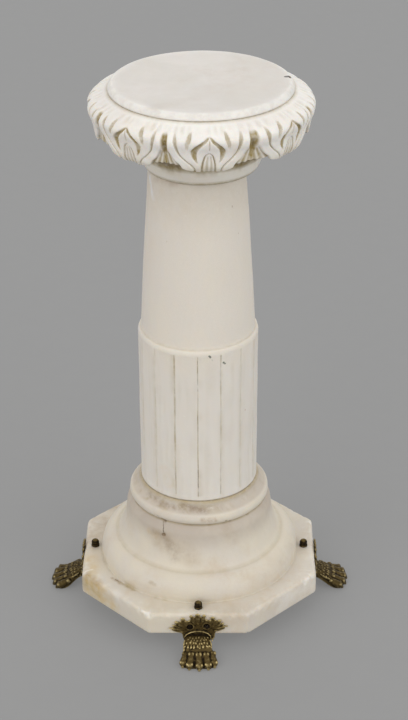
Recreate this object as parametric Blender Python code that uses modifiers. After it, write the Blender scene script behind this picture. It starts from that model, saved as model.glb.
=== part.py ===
# A doric column pedestal carved in pale alabaster, standing on four brass lion-paw feet.
# Pieces, from the top: a loose round disc, the capital with its ring of hanging leaves,
# the shaft with a plain upper part and a panelled drum below, the base with its octagonal
# plinth, four cast paw feet screwed to the plinth's faces, and four cap nuts on the plinth.
# All sizes are in metres; heights on the stone are measured from the plinth's underside.

import math

import bmesh
import bpy
from mathutils import Matrix, Vector

MM = 0.001

# The whole pedestal
FOOT_DROP = 26 * MM          # the plinth's underside stands this high over the floor
JOINT_GAP = 0.3 * MM         # air left in every joint between two pieces
CAPITAL_SHIFT = 5.5 * MM     # the capital and disc sit this far to the right of the shaft

# Disc, lying on the capital
CAPITAL_TOP = 707.0 * MM
DISC_THICKNESS = 8.8 * MM
DISC_TOP = CAPITAL_TOP + JOINT_GAP + DISC_THICKNESS
DISC_RIM_RADIUS = 108.6 * MM
DISC_TOP_RADIUS = 111.4 * MM
DISC_SIDE_RADIUS = 113.6 * MM
DISC_STEPS = 40

# Capital
LEAF_COUNT = 8
LEAF_PHASE = math.radians(-90 + 4.6)     # the front leaf stands a little right of the middle
JOINT_RING_RADIUS = 114.8 * MM
LIP_RISE_AT_DART = 8.6 * MM              # the ring's lower edge climbs between two leaves
NECK_FOOT = 607.6 * MM
NECK_RADIUS = 70.1 * MM
CAPITAL_STEPS = 40

# Shaft
SHAFT_TOP_RADIUS = 61.0 * MM
CREASE_HEIGHT = 379.8 * MM
CREASE_RADIUS = 74.6 * MM
DRUM_TOP_RADIUS = 78.6 * MM
DRUM_FOOT_RADIUS = 78.2 * MM
DRUM_FOOT = 156.2 * MM
PANEL_COUNT = 16
PANEL_LINE_WIDTH = 2.2 * MM
PANEL_LINE_DEPTH = 1.1 * MM
PANEL_LINE_TOP = 374.5 * MM
PANEL_LINE_FOOT = 163.5 * MM
PANEL_FLATNESS = 0.35                    # 0 leaves the drum round, 1 cuts each panel flat

# Base
BASE_STEPS = 36
PLINTH_ACROSS_FLATS = 320 * MM
PLINTH_THICKNESS = 32 * MM
PLINTH_EDGE_DROP = 5.5 * MM
PLINTH_EDGE_INSET = 6.5 * MM

# Cap nuts, standing on the plinth at the middle of its four main sides
NUT_RING = 145 * MM
NUT_RADIUS = 5.2 * MM
NUT_COLLAR_RADIUS = 5.7 * MM
NUT_COLLAR_HEIGHT = 3.4 * MM
NUT_HEIGHT = 10.4 * MM
NUT_STEPS = 8

# Crown plate of a foot, seen from in front of its face
PLATE_THICKNESS = 3.2 * MM
PLATE_TILT_FRONT = math.radians(2.8)     # the front plate leans up to the right
PLATE_LOBES = (
    (0.0, 34.6), (3.6, 32.6), (4.2, 29.4), (6.4, 31.8), (9.6, 31.2), (11.2, 27.6), (12.8, 23.6),
    (15.8, 24.6), (18.6, 28.4), (22.4, 28.0), (24.0, 23.4), (27.4, 24.2), (31.6, 23.2),
    (32.6, 18.6), (34.6, 15.4), (39.6, 14.0), (38.4, 11.0), (33.0, 9.2), (26.6, 6.4),
    (20.6, 1.4), (19.6, -5.4), (17.2, -9.4),
)
SCREW_HOLE_X = 11.2 * MM
SCREW_HOLE_Z = 13.8 * MM
SCREW_SEAT_RADIUS = 3.0 * MM
SCREW_SEAT_DEPTH = 2.0 * MM
SCREW_HOLE_RADIUS = 1.7 * MM
SCREW_HOLE_DEPTH = 12 * MM               # how deep each screw hole runs into the plinth
SCREW_STEPS = 8

# Paw: stations from the plate outwards as (distance out, top, underside, half width)
PAW_STATIONS = (
    (1.2, 4.4, -8.4, 16.8), (9.0, 3.4, -12.4, 16.8), (18.0, 3.2, -19.0, 17.0),
    (26.0, 0.4, -24.0, 20.4), (32.0, -4.0, -25.2, 21.4), (36.5, -10.0, -25.2, 19.0),
)
PAW_SIDES = 10
# Toes from left to right as (across, distance out, middle height, half width, half length,
# half height); their soles are cut flat on the floor
TOES = (
    (-20.6, 29.6, -19.4, 4.7, 8.6, 9.6), (-11.0, 34.6, -19.2, 4.9, 9.2, 10.0),
    (0.2, 38.6, -19.2, 5.9, 10.2, 10.4), (11.4, 34.8, -19.2, 4.9, 9.2, 10.0),
    (20.8, 29.6, -19.4, 4.5, 8.4, 9.6),
)


def rgb(red, green, blue):
    return (red, green, blue, 1.0)


STONE_TINTS = {
    "top_disc": rgb(0.72, 0.68, 0.64), "capital": rgb(0.85, 0.83, 0.78),
    "shaft": rgb(0.62, 0.56, 0.48), "base": rgb(0.66, 0.60, 0.50),
}
BRASS_TINT = rgb(0.30, 0.24, 0.12)


def clear_scene():
    for item in list(bpy.data.objects):
        bpy.data.objects.remove(item, do_unlink=True)


def collection(name):
    made = bpy.data.collections.new(name)
    bpy.context.scene.collection.children.link(made)
    return made


def material(name, tint, metallic, roughness):
    made = bpy.data.materials.new(name)
    made.use_nodes = True
    shader = made.node_tree.nodes["Principled BSDF"]
    shader.inputs["Base Color"].default_value = tint
    shader.inputs["Metallic"].default_value = metallic
    shader.inputs["Roughness"].default_value = roughness
    return made


def place(name, mesh, group, finish=None):
    made = bpy.data.objects.new(name, mesh)
    group.objects.link(made)
    if finish:
        mesh.materials.append(finish)
    return made


def mesh_from(name, points, faces):
    mesh = bpy.data.meshes.new(name)
    mesh.from_pydata([tuple(point) for point in points], [], faces)
    mesh.update()
    return mesh


def smooth(mesh, degrees=35):
    mesh.shade_smooth()
    mesh.set_sharp_from_angle(angle=math.radians(degrees))


def hide_cutter(cutter):
    cutter.hide_render = True
    cutter.display_type = "WIRE"


def boolean(target, operation, other):
    cut = target.modifiers.new(operation.lower(), "BOOLEAN")
    cut.operation = operation
    cut.solver = "EXACT"
    cut.object = other
    return cut


def turned(name, profile, steps, group, finish=None):
    """Turn a profile, given from its top on the axis down its outer side, into a round body."""
    points = [Vector((radius, 0, height)) for radius, height in profile]
    mesh = bpy.data.meshes.new(name)
    mesh.from_pydata(points, [(i, i + 1) for i in range(len(points) - 1)], [])
    body = place(name, mesh, group, finish)
    screw = body.modifiers.new("turn", "SCREW")
    screw.axis = "Z"
    screw.angle = math.tau
    screw.steps = steps
    screw.render_steps = steps
    screw.use_merge_vertices = True
    screw.merge_threshold = 0.00005
    screw.use_smooth_shade = True
    return body


def bake(body):
    """Return a plain mesh of a body as its modifiers leave it, with its caps welded."""
    bpy.context.view_layer.update()
    seen = body.evaluated_get(bpy.context.evaluated_depsgraph_get())
    mesh = bpy.data.meshes.new_from_object(seen)
    work = bmesh.new()
    work.from_mesh(mesh)
    bmesh.ops.remove_doubles(work, verts=work.verts, dist=0.00001)
    bmesh.ops.recalc_face_normals(work, faces=work.faces)
    work.to_mesh(mesh)
    work.free()
    return mesh


def between(table, value):
    """Read a straight-line table of (place, result) pairs."""
    if value <= table[0][0]:
        return table[0][1]
    for (low, first), (high, second) in zip(table, table[1:]):
        if value <= high:
            return first + (second - first) * (value - low) / (high - low)
    return table[-1][1]


# Rings of points are joined by these two helpers; a fine ring may meet a coarse one

def join_rings(upper, lower, faces):
    count = len(upper)
    if len(lower) == count:
        for i in range(count):
            j = (i + 1) % count
            faces.append((upper[i], lower[i], lower[j], upper[j]))
        return
    fine, coarse = (upper, lower) if len(upper) > len(lower) else (lower, upper)
    ratio = len(fine) // len(coarse)
    downward = fine is lower
    for i in range(len(coarse)):
        j = (i + 1) % len(coarse)
        start = i * ratio
        middle = start + ratio // 2
        for step in range(ratio):
            a = fine[(start + step) % len(fine)]
            b = fine[(start + step + 1) % len(fine)]
            near = coarse[i] if start + step < middle else coarse[j]
            faces.append((near, a, b) if downward else (near, b, a))
        a = fine[middle % len(fine)]
        faces.append((coarse[i], a, coarse[j]) if downward else (coarse[j], a, coarse[i]))


def cap_ring(ring, points, height, upward, faces):
    points.append(Vector((0, 0, height)))
    tip = len(points) - 1
    for i in range(len(ring)):
        j = (i + 1) % len(ring)
        faces.append((tip, ring[i], ring[j]) if upward else (tip, ring[j], ring[i]))


# Leaf ring: its outer face runs from the disc joint out, round and down to the lip, as
# (radius, drop under the capital's top) in mm, and so does the hollow under it
RING_FACE = (
    (114.8, 0.0), (122.5, 3.6), (130.0, 6.9), (135.7, 10.2), (140.2, 16.8), (138.9, 23.8),
    (135.9, 31.4), (134.4, 38.0), (133.0, 45.5), (130.4, 51.4), (125.4, 56.6),
)
RING_UNDER = ((113.0, 55.5), (96.0, 60.0), (82.5, 68.5), (77.2, 76.5))
# Neck moulding, as (radius, height above the neck's foot) in mm
NECK_FACE = ((76.0, 15.4), (74.4, 8.0), (71.6, 2.0))

# Lines of the carving, as (way down the face in mm, degrees from the leaf's axis)
ARCH_LINE = ((23.6, 0.5), (31, 2.7), (36.3, 5.1), (42, 6.9), (47, 7.3), (55, 6.6), (64, 4.8), (75, 4.4))
SLOT_LINE = ((14, 8.8), (28, 9.6), (35, 10.4), (43, 10.5), (52, 9.9), (60, 8.2), (66, 6.2), (75, 5.6))
FOLD_LINE = ((14, 17.2), (30, 16.4), (38, 15.9), (48.5, 14.4), (56, 11.7), (62, 9.0), (66, 7.4), (75, 6.8))
STRAP_LINE = ((14, 20.6), (38, 20.8), (47, 19.4), (58, 16.5), (62.5, 14.5), (75, 13.2))
ARCH_WIDTH = ((23, 0.4), (30, 1.0), (38, 1.3), (47, 1.1), (56, 0.5), (75, 0.3))
ARCH_DEPTH = ((23, 0.0), (28, 2.2), (36, 3.6), (48, 3.2), (58, 0.6), (75, 0.2))
SLOT_DEPTH = ((14, 0.0), (20, 1.6), (28, 2.6), (36, 1.6), (44, 0.0), (75, 0.0))
FOLD_DEPTH = ((14, 0.2), (22, 1.4), (34, 2.4), (50, 2.2), (62, 1.8), (75, 1.2))
DART_DEPTH = ((14, 0.0), (20, 1.2), (28, 5.0), (38, 7.0), (48, 5.4), (56, 3.4), (75, 3.0))
FAN_DEPTH = ((14, 0.0), (30, 1.6), (40, 3.6), (50, 3.4), (58, 2.4), (75, 2.0))
ROWS = (17, 25, 33, 41, 49, 58)


def face_lengths():
    lengths = [0.0]
    for (r0, z0), (r1, z1) in zip(RING_FACE, RING_FACE[1:]):
        lengths.append(lengths[-1] + math.hypot(r1 - r0, z1 - z0))
    return lengths


def ring_height(drop):
    return CAPITAL_TOP / MM - drop


def face_point(way, depth):
    """Point of the ring's face this far down from the disc joint, carved in by the depth."""
    lengths = face_lengths()
    radii = list(zip(lengths, [radius for radius, drop in RING_FACE]))
    heights = list(zip(lengths, [ring_height(drop) for radius, drop in RING_FACE]))
    reach = 4
    along = Vector((
        between(radii, way + reach) - between(radii, way - reach),
        between(heights, way + reach) - between(heights, way - reach),
    )).normalized()
    return between(radii, way) + along.y * depth, between(heights, way) - along.x * depth


def leaf_columns(way):
    """Angles and depths across half a leaf, from its axis to the middle of the dart."""
    arch = between(ARCH_LINE, way)
    width = between(ARCH_WIDTH, way)
    slot = between(SLOT_LINE, way)
    fold = between(FOLD_LINE, way)
    strap = between(STRAP_LINE, way)
    arch_cut = between(ARCH_DEPTH, way)
    slot_cut = between(SLOT_DEPTH, way)
    fold_cut = between(FOLD_DEPTH, way)
    half = 180 / LEAF_COUNT
    return (
        (0.0, 0.25 * arch_cut), (max(arch - width, 0.3 * arch), 0.15 * arch_cut),
        (arch, arch_cut), (arch + width, 0.0), (slot, slot_cut),
        (0.45 * slot + 0.55 * fold, 0.0), (fold, fold_cut), (0.5 * fold + 0.5 * strap, 0.0),
        (strap, 0.5 * between(FAN_DEPTH, way)), (0.35 * strap + 0.65 * half, between(FAN_DEPTH, way)),
        (half, between(DART_DEPTH, way)),
    )


def capital_mesh():
    points = []
    faces = []

    def coarse_ring(radius, height):
        first = len(points)
        for i in range(CAPITAL_STEPS):
            angle = LEAF_PHASE + math.tau * i / CAPITAL_STEPS
            points.append(Vector((radius * MM * math.cos(angle), radius * MM * math.sin(angle), height * MM)))
        return list(range(first, len(points)))

    def fine_ring(way, lip=False):
        first = len(points)
        columns = leaf_columns(way)
        across = [(-angle, cut) for angle, cut in reversed(columns[1:-1])] + list(columns)
        for leaf in range(LEAF_COUNT):
            middle = LEAF_PHASE + math.tau * leaf / LEAF_COUNT
            turn = len(columns) - 2
            for place_in_leaf in range(len(across)):
                offset, cut = across[(place_in_leaf + turn) % len(across)]
                if place_in_leaf + turn >= len(across):
                    offset += 360 / LEAF_COUNT
                share = min(abs(offset), abs(360 / LEAF_COUNT - offset)) / (180 / LEAF_COUNT)
                radius, height = face_point(way, cut)
                if lip:
                    height += share ** 1.5 * LIP_RISE_AT_DART / MM
                    radius += share ** 1.5 * 2.6
                angle = middle + math.radians(offset)
                spot = Vector((radius * math.cos(angle), radius * math.sin(angle), height))
                points.append(spot * MM)
        return list(range(first, len(points)))

    top = coarse_ring(*face_point(0, 0))
    cap_ring(top, points, CAPITAL_TOP, True, faces)
    rings = [top, coarse_ring(*face_point(9, 0))]
    for way in ROWS:
        rings.append(fine_ring(way))
    rings.append(fine_ring(face_lengths()[-1] - 0.01, lip=True))
    for radius, drop in RING_UNDER:
        rings.append(coarse_ring(radius, ring_height(drop)))
    for radius, rise in NECK_FACE:
        rings.append(coarse_ring(radius, (NECK_FOOT + JOINT_GAP) / MM + rise))
    rings.append(coarse_ring(NECK_RADIUS / MM, (NECK_FOOT + JOINT_GAP) / MM))
    for upper, lower in zip(rings, rings[1:]):
        join_rings(upper, lower, faces)
    cap_ring(rings[-1], points, NECK_FOOT + JOINT_GAP, False, faces)
    return mesh_from("capital", points, faces)


def shaft_mesh():
    points = []
    faces = []
    panel = math.tau / PANEL_COUNT
    flat = math.cos(panel / 2)

    def ring(radius, height, cut, flatness, panelled=True):
        first = len(points)
        edge = PANEL_LINE_WIDTH / 2 / radius if panelled else panel / 4
        for i in range(PANEL_COUNT):
            middle = -math.pi / 2 + panel * i
            for offset, depth in ((0.0, cut), (edge, 0.0), (panel / 2, 0.0), (panel - edge, 0.0)):
                place_in_panel = abs(offset - panel / 2)
                chord = radius * flat / math.cos(place_in_panel)
                reach = radius + (chord - radius) * flatness - depth
                angle = middle + offset
                points.append(Vector((reach * math.cos(angle), reach * math.sin(angle), height)))
        return list(range(first, len(points)))

    def drum_radius(height):
        share = (height - DRUM_FOOT) / (CREASE_HEIGHT - DRUM_FOOT)
        return DRUM_FOOT_RADIUS + (DRUM_TOP_RADIUS - DRUM_FOOT_RADIUS) * share

    line_foot = PANEL_LINE_FOOT + 2 * PANEL_LINE_DEPTH
    line_top = PANEL_LINE_TOP - 2 * PANEL_LINE_DEPTH
    rings = [
        ring(SHAFT_TOP_RADIUS, NECK_FOOT, 0, 0, panelled=False),
        ring(CREASE_RADIUS, CREASE_HEIGHT, 0, 0, panelled=False),
        ring(CREASE_RADIUS + 2.4 * MM, CREASE_HEIGHT - 1.3 * MM, 0, 0, panelled=False),
        ring(DRUM_TOP_RADIUS, PANEL_LINE_TOP, 0, PANEL_FLATNESS * 0.5),
        ring(drum_radius(line_top), line_top, PANEL_LINE_DEPTH, PANEL_FLATNESS),
        ring(drum_radius(line_foot), line_foot, PANEL_LINE_DEPTH, PANEL_FLATNESS),
        ring(DRUM_FOOT_RADIUS, PANEL_LINE_FOOT, 0, PANEL_FLATNESS * 0.5),
        ring(DRUM_FOOT_RADIUS, DRUM_FOOT + JOINT_GAP, 0, 0),
    ]
    cap_ring(rings[0], points, NECK_FOOT, True, faces)
    for upper, lower in zip(rings, rings[1:]):
        join_rings(upper, lower, faces)
    cap_ring(rings[-1], points, DRUM_FOOT + JOINT_GAP, False, faces)
    return mesh_from("shaft", points, faces)


def plinth_mesh():
    points = []
    faces = []

    def octagon(inset, height):
        first = len(points)
        reach = (PLINTH_ACROSS_FLATS / 2 - inset) / math.cos(math.pi / 8)
        for i in range(8):
            angle = math.pi / 8 + math.tau * i / 8
            points.append(Vector((reach * math.cos(angle), reach * math.sin(angle), height)))
        return list(range(first, len(points)))

    top = PLINTH_THICKNESS
    rings = [
        octagon(PLINTH_EDGE_INSET, top),
        octagon(PLINTH_EDGE_INSET * 0.3, top - PLINTH_EDGE_DROP * 0.3),
        octagon(0, top - PLINTH_EDGE_DROP),
        octagon(0, 1.6 * MM),
        octagon(1.6 * MM, 0),
    ]
    faces.append(tuple(rings[0]))
    for upper, lower in zip(rings, rings[1:]):
        join_rings(upper, lower, faces)
    faces.append(tuple(reversed(rings[-1])))
    return mesh_from("base", points, faces)


BASE_PROFILE = (
    (0.0, 156.2), (79.8, 156.2), (84.0, 147.4), (91.0, 142.0), (93.6, 137.0), (93.2, 130.6),
    (90.9, 127.0), (97.4, 115.6), (100.0, 98.0), (105.0, 80.0), (112.5, 65.7), (121.0, 62.8),
    (129.6, 55.6), (134.6, 45.6), (134.2, 29.0), (0.0, 29.0),
)


def drill(name, radius, depth, into, group):
    """A round cutter that runs inwards from the plane of the front face."""
    work = bmesh.new()
    bmesh.ops.create_cone(
        work, cap_ends=True, segments=SCREW_STEPS, radius1=radius, radius2=radius, depth=depth + into)
    mesh = bpy.data.meshes.new(name)
    work.to_mesh(mesh)
    work.free()
    return place(name, mesh, group)


def front_plane(across, height, out):
    """Place something on the front face: across to the right, up, and out from the face."""
    return Matrix.Translation((across, -(PLINTH_ACROSS_FLATS / 2 + out), height))


FACE_TURNS = {"front": 0.0, "right": math.pi / 2, "back": math.pi, "left": -math.pi / 2}


def plate_mesh(tilt):
    """Crown plate: a leafed outline drawn as a flat curve and given its thickness."""
    curve = bpy.data.curves.new("plate", "CURVE")
    curve.dimensions = "2D"
    curve.fill_mode = "BOTH"
    curve.extrude = PLATE_THICKNESS / 2
    line = curve.splines.new("POLY")
    left = [(-across, up) for across, up in reversed(PLATE_LOBES[1:])]
    outline = left + list(PLATE_LOBES)
    line.points.add(len(outline) - 1)
    for spot, (across, up) in zip(line.points, outline):
        spot.co = (across * MM, up * MM, 0, 1)
    line.use_cyclic_u = True
    drawn = bpy.data.objects.new("plate", curve)
    bpy.context.scene.collection.objects.link(drawn)
    mesh = bake(drawn)
    bpy.data.objects.remove(drawn, do_unlink=True)
    stand_up = Matrix.Rotation(math.pi / 2, 4, "X")
    lean = Matrix.Translation((0, 0, 14 * MM)) @ Matrix.Rotation(-tilt, 4, "Y")
    lean = lean @ Matrix.Translation((0, 0, -14 * MM))
    mesh.transform(front_plane(0, 0, JOINT_GAP + PLATE_THICKNESS / 2) @ lean @ stand_up)
    return mesh


def paw_mesh():
    points = []
    faces = []
    rings = []
    for out, top, under, half in PAW_STATIONS:
        first = len(points)
        middle = (top + under) / 2
        rise = (top - under) / 2
        for i in range(PAW_SIDES):
            angle = math.tau * i / PAW_SIDES
            side = math.copysign(abs(math.cos(angle)) ** 0.7, math.cos(angle)) * half
            lift = math.copysign(abs(math.sin(angle)) ** 0.8, math.sin(angle)) * rise
            points.append(front_plane(side * MM, (middle + lift) * MM, out * MM).translation)
        rings.append(list(range(first, len(points))))
    faces.append(tuple(reversed(rings[0])))
    for near, far in zip(rings, rings[1:]):
        join_rings(far, near, faces)
    faces.append(tuple(rings[-1]))
    mesh = mesh_from("paw", points, faces)
    work = bmesh.new()
    work.from_mesh(mesh)
    bmesh.ops.recalc_face_normals(work, faces=work.faces)
    work.to_mesh(mesh)
    work.free()
    return mesh


def toes_mesh():
    work = bmesh.new()
    for across, out, height, half, length, rise in TOES:
        shape = front_plane(across * MM, height * MM, out * MM)
        shape = shape @ Matrix.Diagonal((half * MM, length * MM, rise * MM, 1))
        bmesh.ops.create_uvsphere(work, u_segments=8, v_segments=4, radius=1, matrix=shape)
    for spot in work.verts:
        spot.co.z = max(spot.co.z, -FOOT_DROP)
    mesh = bpy.data.meshes.new("toes")
    work.to_mesh(mesh)
    work.free()
    return mesh


def make_foot(name, tilt, group, cutters, finish):
    foot = place(name, plate_mesh(tilt), group, finish)
    for part, mesh in (("paw", paw_mesh()), ("toes", toes_mesh())):
        added = place(f"{name}_{part}", mesh, cutters)
        hide_cutter(added)
        boolean(foot, "UNION", added)
    for side in (-1, 1):
        across, height = hole_place(side, tilt)
        for part, radius, inner in (("seat", SCREW_SEAT_RADIUS, PLATE_THICKNESS - SCREW_SEAT_DEPTH),
                                    ("hole", SCREW_HOLE_RADIUS, -1 * MM)):
            depth = 6 * MM
            cutter = drill(f"{name}_{part}_{side}", radius, depth, 0, cutters)
            turn = front_plane(across, height, JOINT_GAP + inner + depth / 2)
            cutter.data.transform(turn @ Matrix.Rotation(math.pi / 2, 4, "X"))
            hide_cutter(cutter)
            boolean(foot, "DIFFERENCE", cutter)
    return foot


def hole_place(side, tilt):
    rise = SCREW_HOLE_Z - 14 * MM
    across = side * SCREW_HOLE_X * math.cos(tilt) - rise * math.sin(tilt)
    height = 14 * MM + side * SCREW_HOLE_X * math.sin(tilt) + rise * math.cos(tilt)
    return across, height


def screw_body(name, side, tilt, group, finish):
    """A round-headed screw whose head sits in the plate's seat and shank in the stone."""
    head_foot = PLATE_THICKNESS - SCREW_SEAT_DEPTH + 2 * JOINT_GAP
    shank = SCREW_HOLE_RADIUS - JOINT_GAP
    head = SCREW_SEAT_RADIUS - JOINT_GAP
    tip = 1 * MM - SCREW_HOLE_DEPTH
    profile = (
        (0, head_foot + 1.7 * MM), (head, head_foot + 0.5 * MM), (head, head_foot),
        (shank, head_foot), (shank, tip + 1.5 * MM), (0, tip),
    )
    body = turned(name, profile, SCREW_STEPS, group)
    mesh = bake(body)
    bpy.data.objects.remove(body, do_unlink=True)
    across, height = hole_place(side, tilt)
    mesh.transform(front_plane(across, height, 0) @ Matrix.Rotation(math.pi / 2, 4, "X"))
    made = place(name, mesh, group, finish)
    smooth(mesh, 50)
    return made


def lift(mesh):
    mesh.transform(Matrix.Translation((0, 0, FOOT_DROP)))


def main():
    clear_scene()
    group = collection("doric_column")
    cutters = collection("cutters")
    finishes = {name: material(name, tint, 0.0, 0.5) for name, tint in STONE_TINTS.items()}
    shift = Matrix.Translation((CAPITAL_SHIFT, 0, 0))

    disc_foot = CAPITAL_TOP + JOINT_GAP
    disc = turned("top_disc", (
        (0, DISC_TOP), (DISC_RIM_RADIUS, DISC_TOP), (DISC_TOP_RADIUS, DISC_TOP - 1.4 * MM),
        (DISC_SIDE_RADIUS, DISC_TOP - 4.8 * MM), (JOINT_RING_RADIUS, disc_foot + 0.6 * MM),
        (JOINT_RING_RADIUS - 0.8 * MM, disc_foot), (0, disc_foot),
    ), DISC_STEPS, group, finishes["top_disc"])
    disc.location = (CAPITAL_SHIFT, 0, FOOT_DROP)

    capital = place("capital", capital_mesh(), group, finishes["capital"])
    capital.data.transform(shift)
    lift(capital.data)
    smooth(capital.data, 30)

    shaft = place("shaft", shaft_mesh(), group, finishes["shaft"])
    lift(shaft.data)
    smooth(shaft.data, 25)

    profile = [(radius * MM, height * MM) for radius, height in BASE_PROFILE]
    base = turned("base", profile, BASE_STEPS, group, finishes["base"])
    plinth = place("base_plinth", plinth_mesh(), cutters)
    hide_cutter(plinth)
    boolean(base, "UNION", plinth)

    tilts = {"front": PLATE_TILT_FRONT, "right": 0.0, "back": 0.0, "left": 0.0}
    for face, turn in FACE_TURNS.items():
        spin = Matrix.Rotation(turn, 4, "Z")
        for side in (-1, 1):
            across, height = hole_place(side, tilts[face])
            pit = drill(f"pit_{face}_{side}", SCREW_HOLE_RADIUS, SCREW_HOLE_DEPTH, 3 * MM, cutters)
            deep = front_plane(across, height, (3 * MM - SCREW_HOLE_DEPTH) / 2)
            pit.data.transform(spin @ deep @ Matrix.Rotation(math.pi / 2, 4, "X"))
            hide_cutter(pit)
            boolean(base, "DIFFERENCE", pit)
    body = bake(base)
    bpy.data.objects.remove(base, do_unlink=True)
    base = place("base", body, group)
    lift(base.data)
    smooth(base.data, 35)

    plain = None
    for face, turn in FACE_TURNS.items():
        spin = Matrix.Rotation(turn, 4, "Z")
        brass = material(f"foot_{face}", BRASS_TINT, 1.0, 0.45)
        if face == "front" or plain is None:
            made = make_foot(f"draft_{face}", tilts[face], cutters, cutters, None)
            mesh = bake(made)
            bpy.data.objects.remove(made, do_unlink=True)
            if face != "front":
                plain = mesh.copy()
                mesh.transform(spin)
        else:
            mesh = plain.copy()
            mesh.transform(spin)
        lift(mesh)
        smooth(mesh, 32)
        place(f"foot_{face}", mesh, group, brass)

        for side, word in ((-1, "left"), (1, "right")):
            if face == "front" and side == 1:
                continue
            steel = material(f"screw_{face}_{word}", BRASS_TINT, 1.0, 0.5)
            screw = screw_body(f"screw_{face}_{word}", side, tilts[face], group, steel)
            screw.data.transform(spin)
            lift(screw.data)

        foot_of_nut = PLINTH_THICKNESS + JOINT_GAP
        nut = turned(f"nut_{face}", (
            (0, foot_of_nut + NUT_HEIGHT), (NUT_RADIUS * 0.62, foot_of_nut + NUT_HEIGHT * 0.91),
            (NUT_RADIUS * 0.94, foot_of_nut + NUT_HEIGHT * 0.68),
            (NUT_RADIUS * 0.92, foot_of_nut + NUT_COLLAR_HEIGHT + 0.6 * MM),
            (NUT_COLLAR_RADIUS, foot_of_nut + NUT_COLLAR_HEIGHT),
            (NUT_COLLAR_RADIUS, foot_of_nut), (0, foot_of_nut),
        ), NUT_STEPS, group, material(f"nut_{face}", BRASS_TINT, 1.0, 0.5))
        angle = turn - math.pi / 2
        nut.location = (NUT_RING * math.cos(angle), NUT_RING * math.sin(angle), FOOT_DROP)

    for cutter in list(cutters.objects):
        if cutter.name.startswith(("draft", "pit", "base_plinth")):
            bpy.data.objects.remove(cutter, do_unlink=True)


main()
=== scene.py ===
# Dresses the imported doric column: alabaster disc, leaf capital, shaft and base, with cast
# brass paw feet, cap nuts and screws. Lengths in the tables are millimetres in the frame's own
# axes, and heights stand over the floor unless a comment says otherwise.

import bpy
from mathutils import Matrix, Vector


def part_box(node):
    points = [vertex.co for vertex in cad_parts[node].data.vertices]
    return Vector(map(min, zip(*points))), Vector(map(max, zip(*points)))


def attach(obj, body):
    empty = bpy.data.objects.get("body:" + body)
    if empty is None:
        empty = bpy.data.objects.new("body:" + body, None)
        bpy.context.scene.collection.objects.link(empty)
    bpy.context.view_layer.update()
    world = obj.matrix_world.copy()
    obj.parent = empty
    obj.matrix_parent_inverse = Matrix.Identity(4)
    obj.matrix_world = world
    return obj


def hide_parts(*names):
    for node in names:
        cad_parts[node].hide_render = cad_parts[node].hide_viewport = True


bl_info = {
    "name": "Doric column on brass paws",
    "version": (1, 0, 0),
    "blender": (4, 5, 0),
    "location": "3D View > Sidebar > Column",
    "description": "Carves the alabaster and casts the brass of a doric pedestal column",
    "category": "Object",
}

import math

import bmesh
import bpy
import numpy as np
from bpy.props import FloatProperty, FloatVectorProperty, IntProperty, PointerProperty
from mathutils import Matrix, Vector

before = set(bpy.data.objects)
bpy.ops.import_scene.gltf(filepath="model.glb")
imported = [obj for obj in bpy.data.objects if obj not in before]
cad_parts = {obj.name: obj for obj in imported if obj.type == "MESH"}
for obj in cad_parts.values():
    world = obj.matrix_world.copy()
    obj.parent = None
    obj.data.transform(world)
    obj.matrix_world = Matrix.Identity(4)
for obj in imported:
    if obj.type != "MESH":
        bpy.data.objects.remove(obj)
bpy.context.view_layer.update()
MM = 0.001


def node_span(node, axis):
    """Lowest and highest place of a CAD node along an axis, in mm."""
    low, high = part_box(node)
    return low[axis] / MM, high[axis] / MM


PLINTH_FOOT = node_span("base", 2)[0]
SHAFT_FOOT, SHAFT_TOP = node_span("shaft", 2)
CAPITAL_FOOT, CAPITAL_TOP = node_span("capital", 2)
DISC_FOOT, DISC_TOP = node_span("top_disc", 2)
PLINTH_HALF = node_span("base", 0)[1]
CAPITAL_X = sum(node_span("top_disc", 0)) / 2

FRONT = -90.0                # direction of the front, in degrees from +X
FACES = {"front": 0.0, "right": 90.0, "back": 180.0, "left": -90.0}


# Curves and unevenness

def flowing(table, at):
    """Read a table of (place, value) pairs as one smooth curve."""
    places, values = np.array(table, float).T
    slopes = np.gradient(values, places)
    at = np.clip(at, places[0], places[-1])
    i = np.clip(np.searchsorted(places, at) - 1, 0, len(places) - 2)
    span = places[i + 1] - places[i]
    t = (at - places[i]) / span
    start = values[i] * (1 + 2 * t) + slopes[i] * span * t
    end = values[i + 1] * (3 - 2 * t) + slopes[i + 1] * span * (t - 1)
    return start * (1 - t) ** 2 + end * t ** 2


def eased(table, at, reach):
    """Read a table as a curve whose bends are rounded over this reach."""
    near = np.linspace(-1.5, 1.5, 13)
    weights = np.exp(-2 * near ** 2)
    low, high = table[0][0], table[-1][0]
    total = 0.0
    for step, weight in zip(near * reach, weights / weights.sum()):
        spot = at + step
        inside = flowing(table, spot)
        first, last = flowing(table, low), flowing(table, high)
        mirrored = np.where(spot < low, 2 * first - flowing(table, 2 * low - spot), inside)
        mirrored = np.where(spot > high, 2 * last - flowing(table, 2 * high - spot), mirrored)
        total = total + weight * mirrored
    return total


def straight(table, at):
    """Read a table of (place, value) pairs as straight lines."""
    places, values = np.array(table, float).T
    return np.interp(at, places, values)


def along(profile):
    """Length down a profile of (radius, height) at each of its points."""
    steps = np.diff(np.array(profile, float), axis=0)
    return np.concatenate(([0.0], np.cumsum(np.hypot(*steps.T))))


def blend(value, low, high):
    """0 below low, 1 above high and smooth between them."""
    t = np.clip((value - low) / (high - low), 0, 1)
    return t * t * (3 - 2 * t)


def hump(distance, reach):
    """1 on a line and 0 from its reach outwards, round on top and crisp at the edge."""
    return np.clip(1 - (distance / np.maximum(reach, 0.05)) ** 2, 0, 1)


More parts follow.
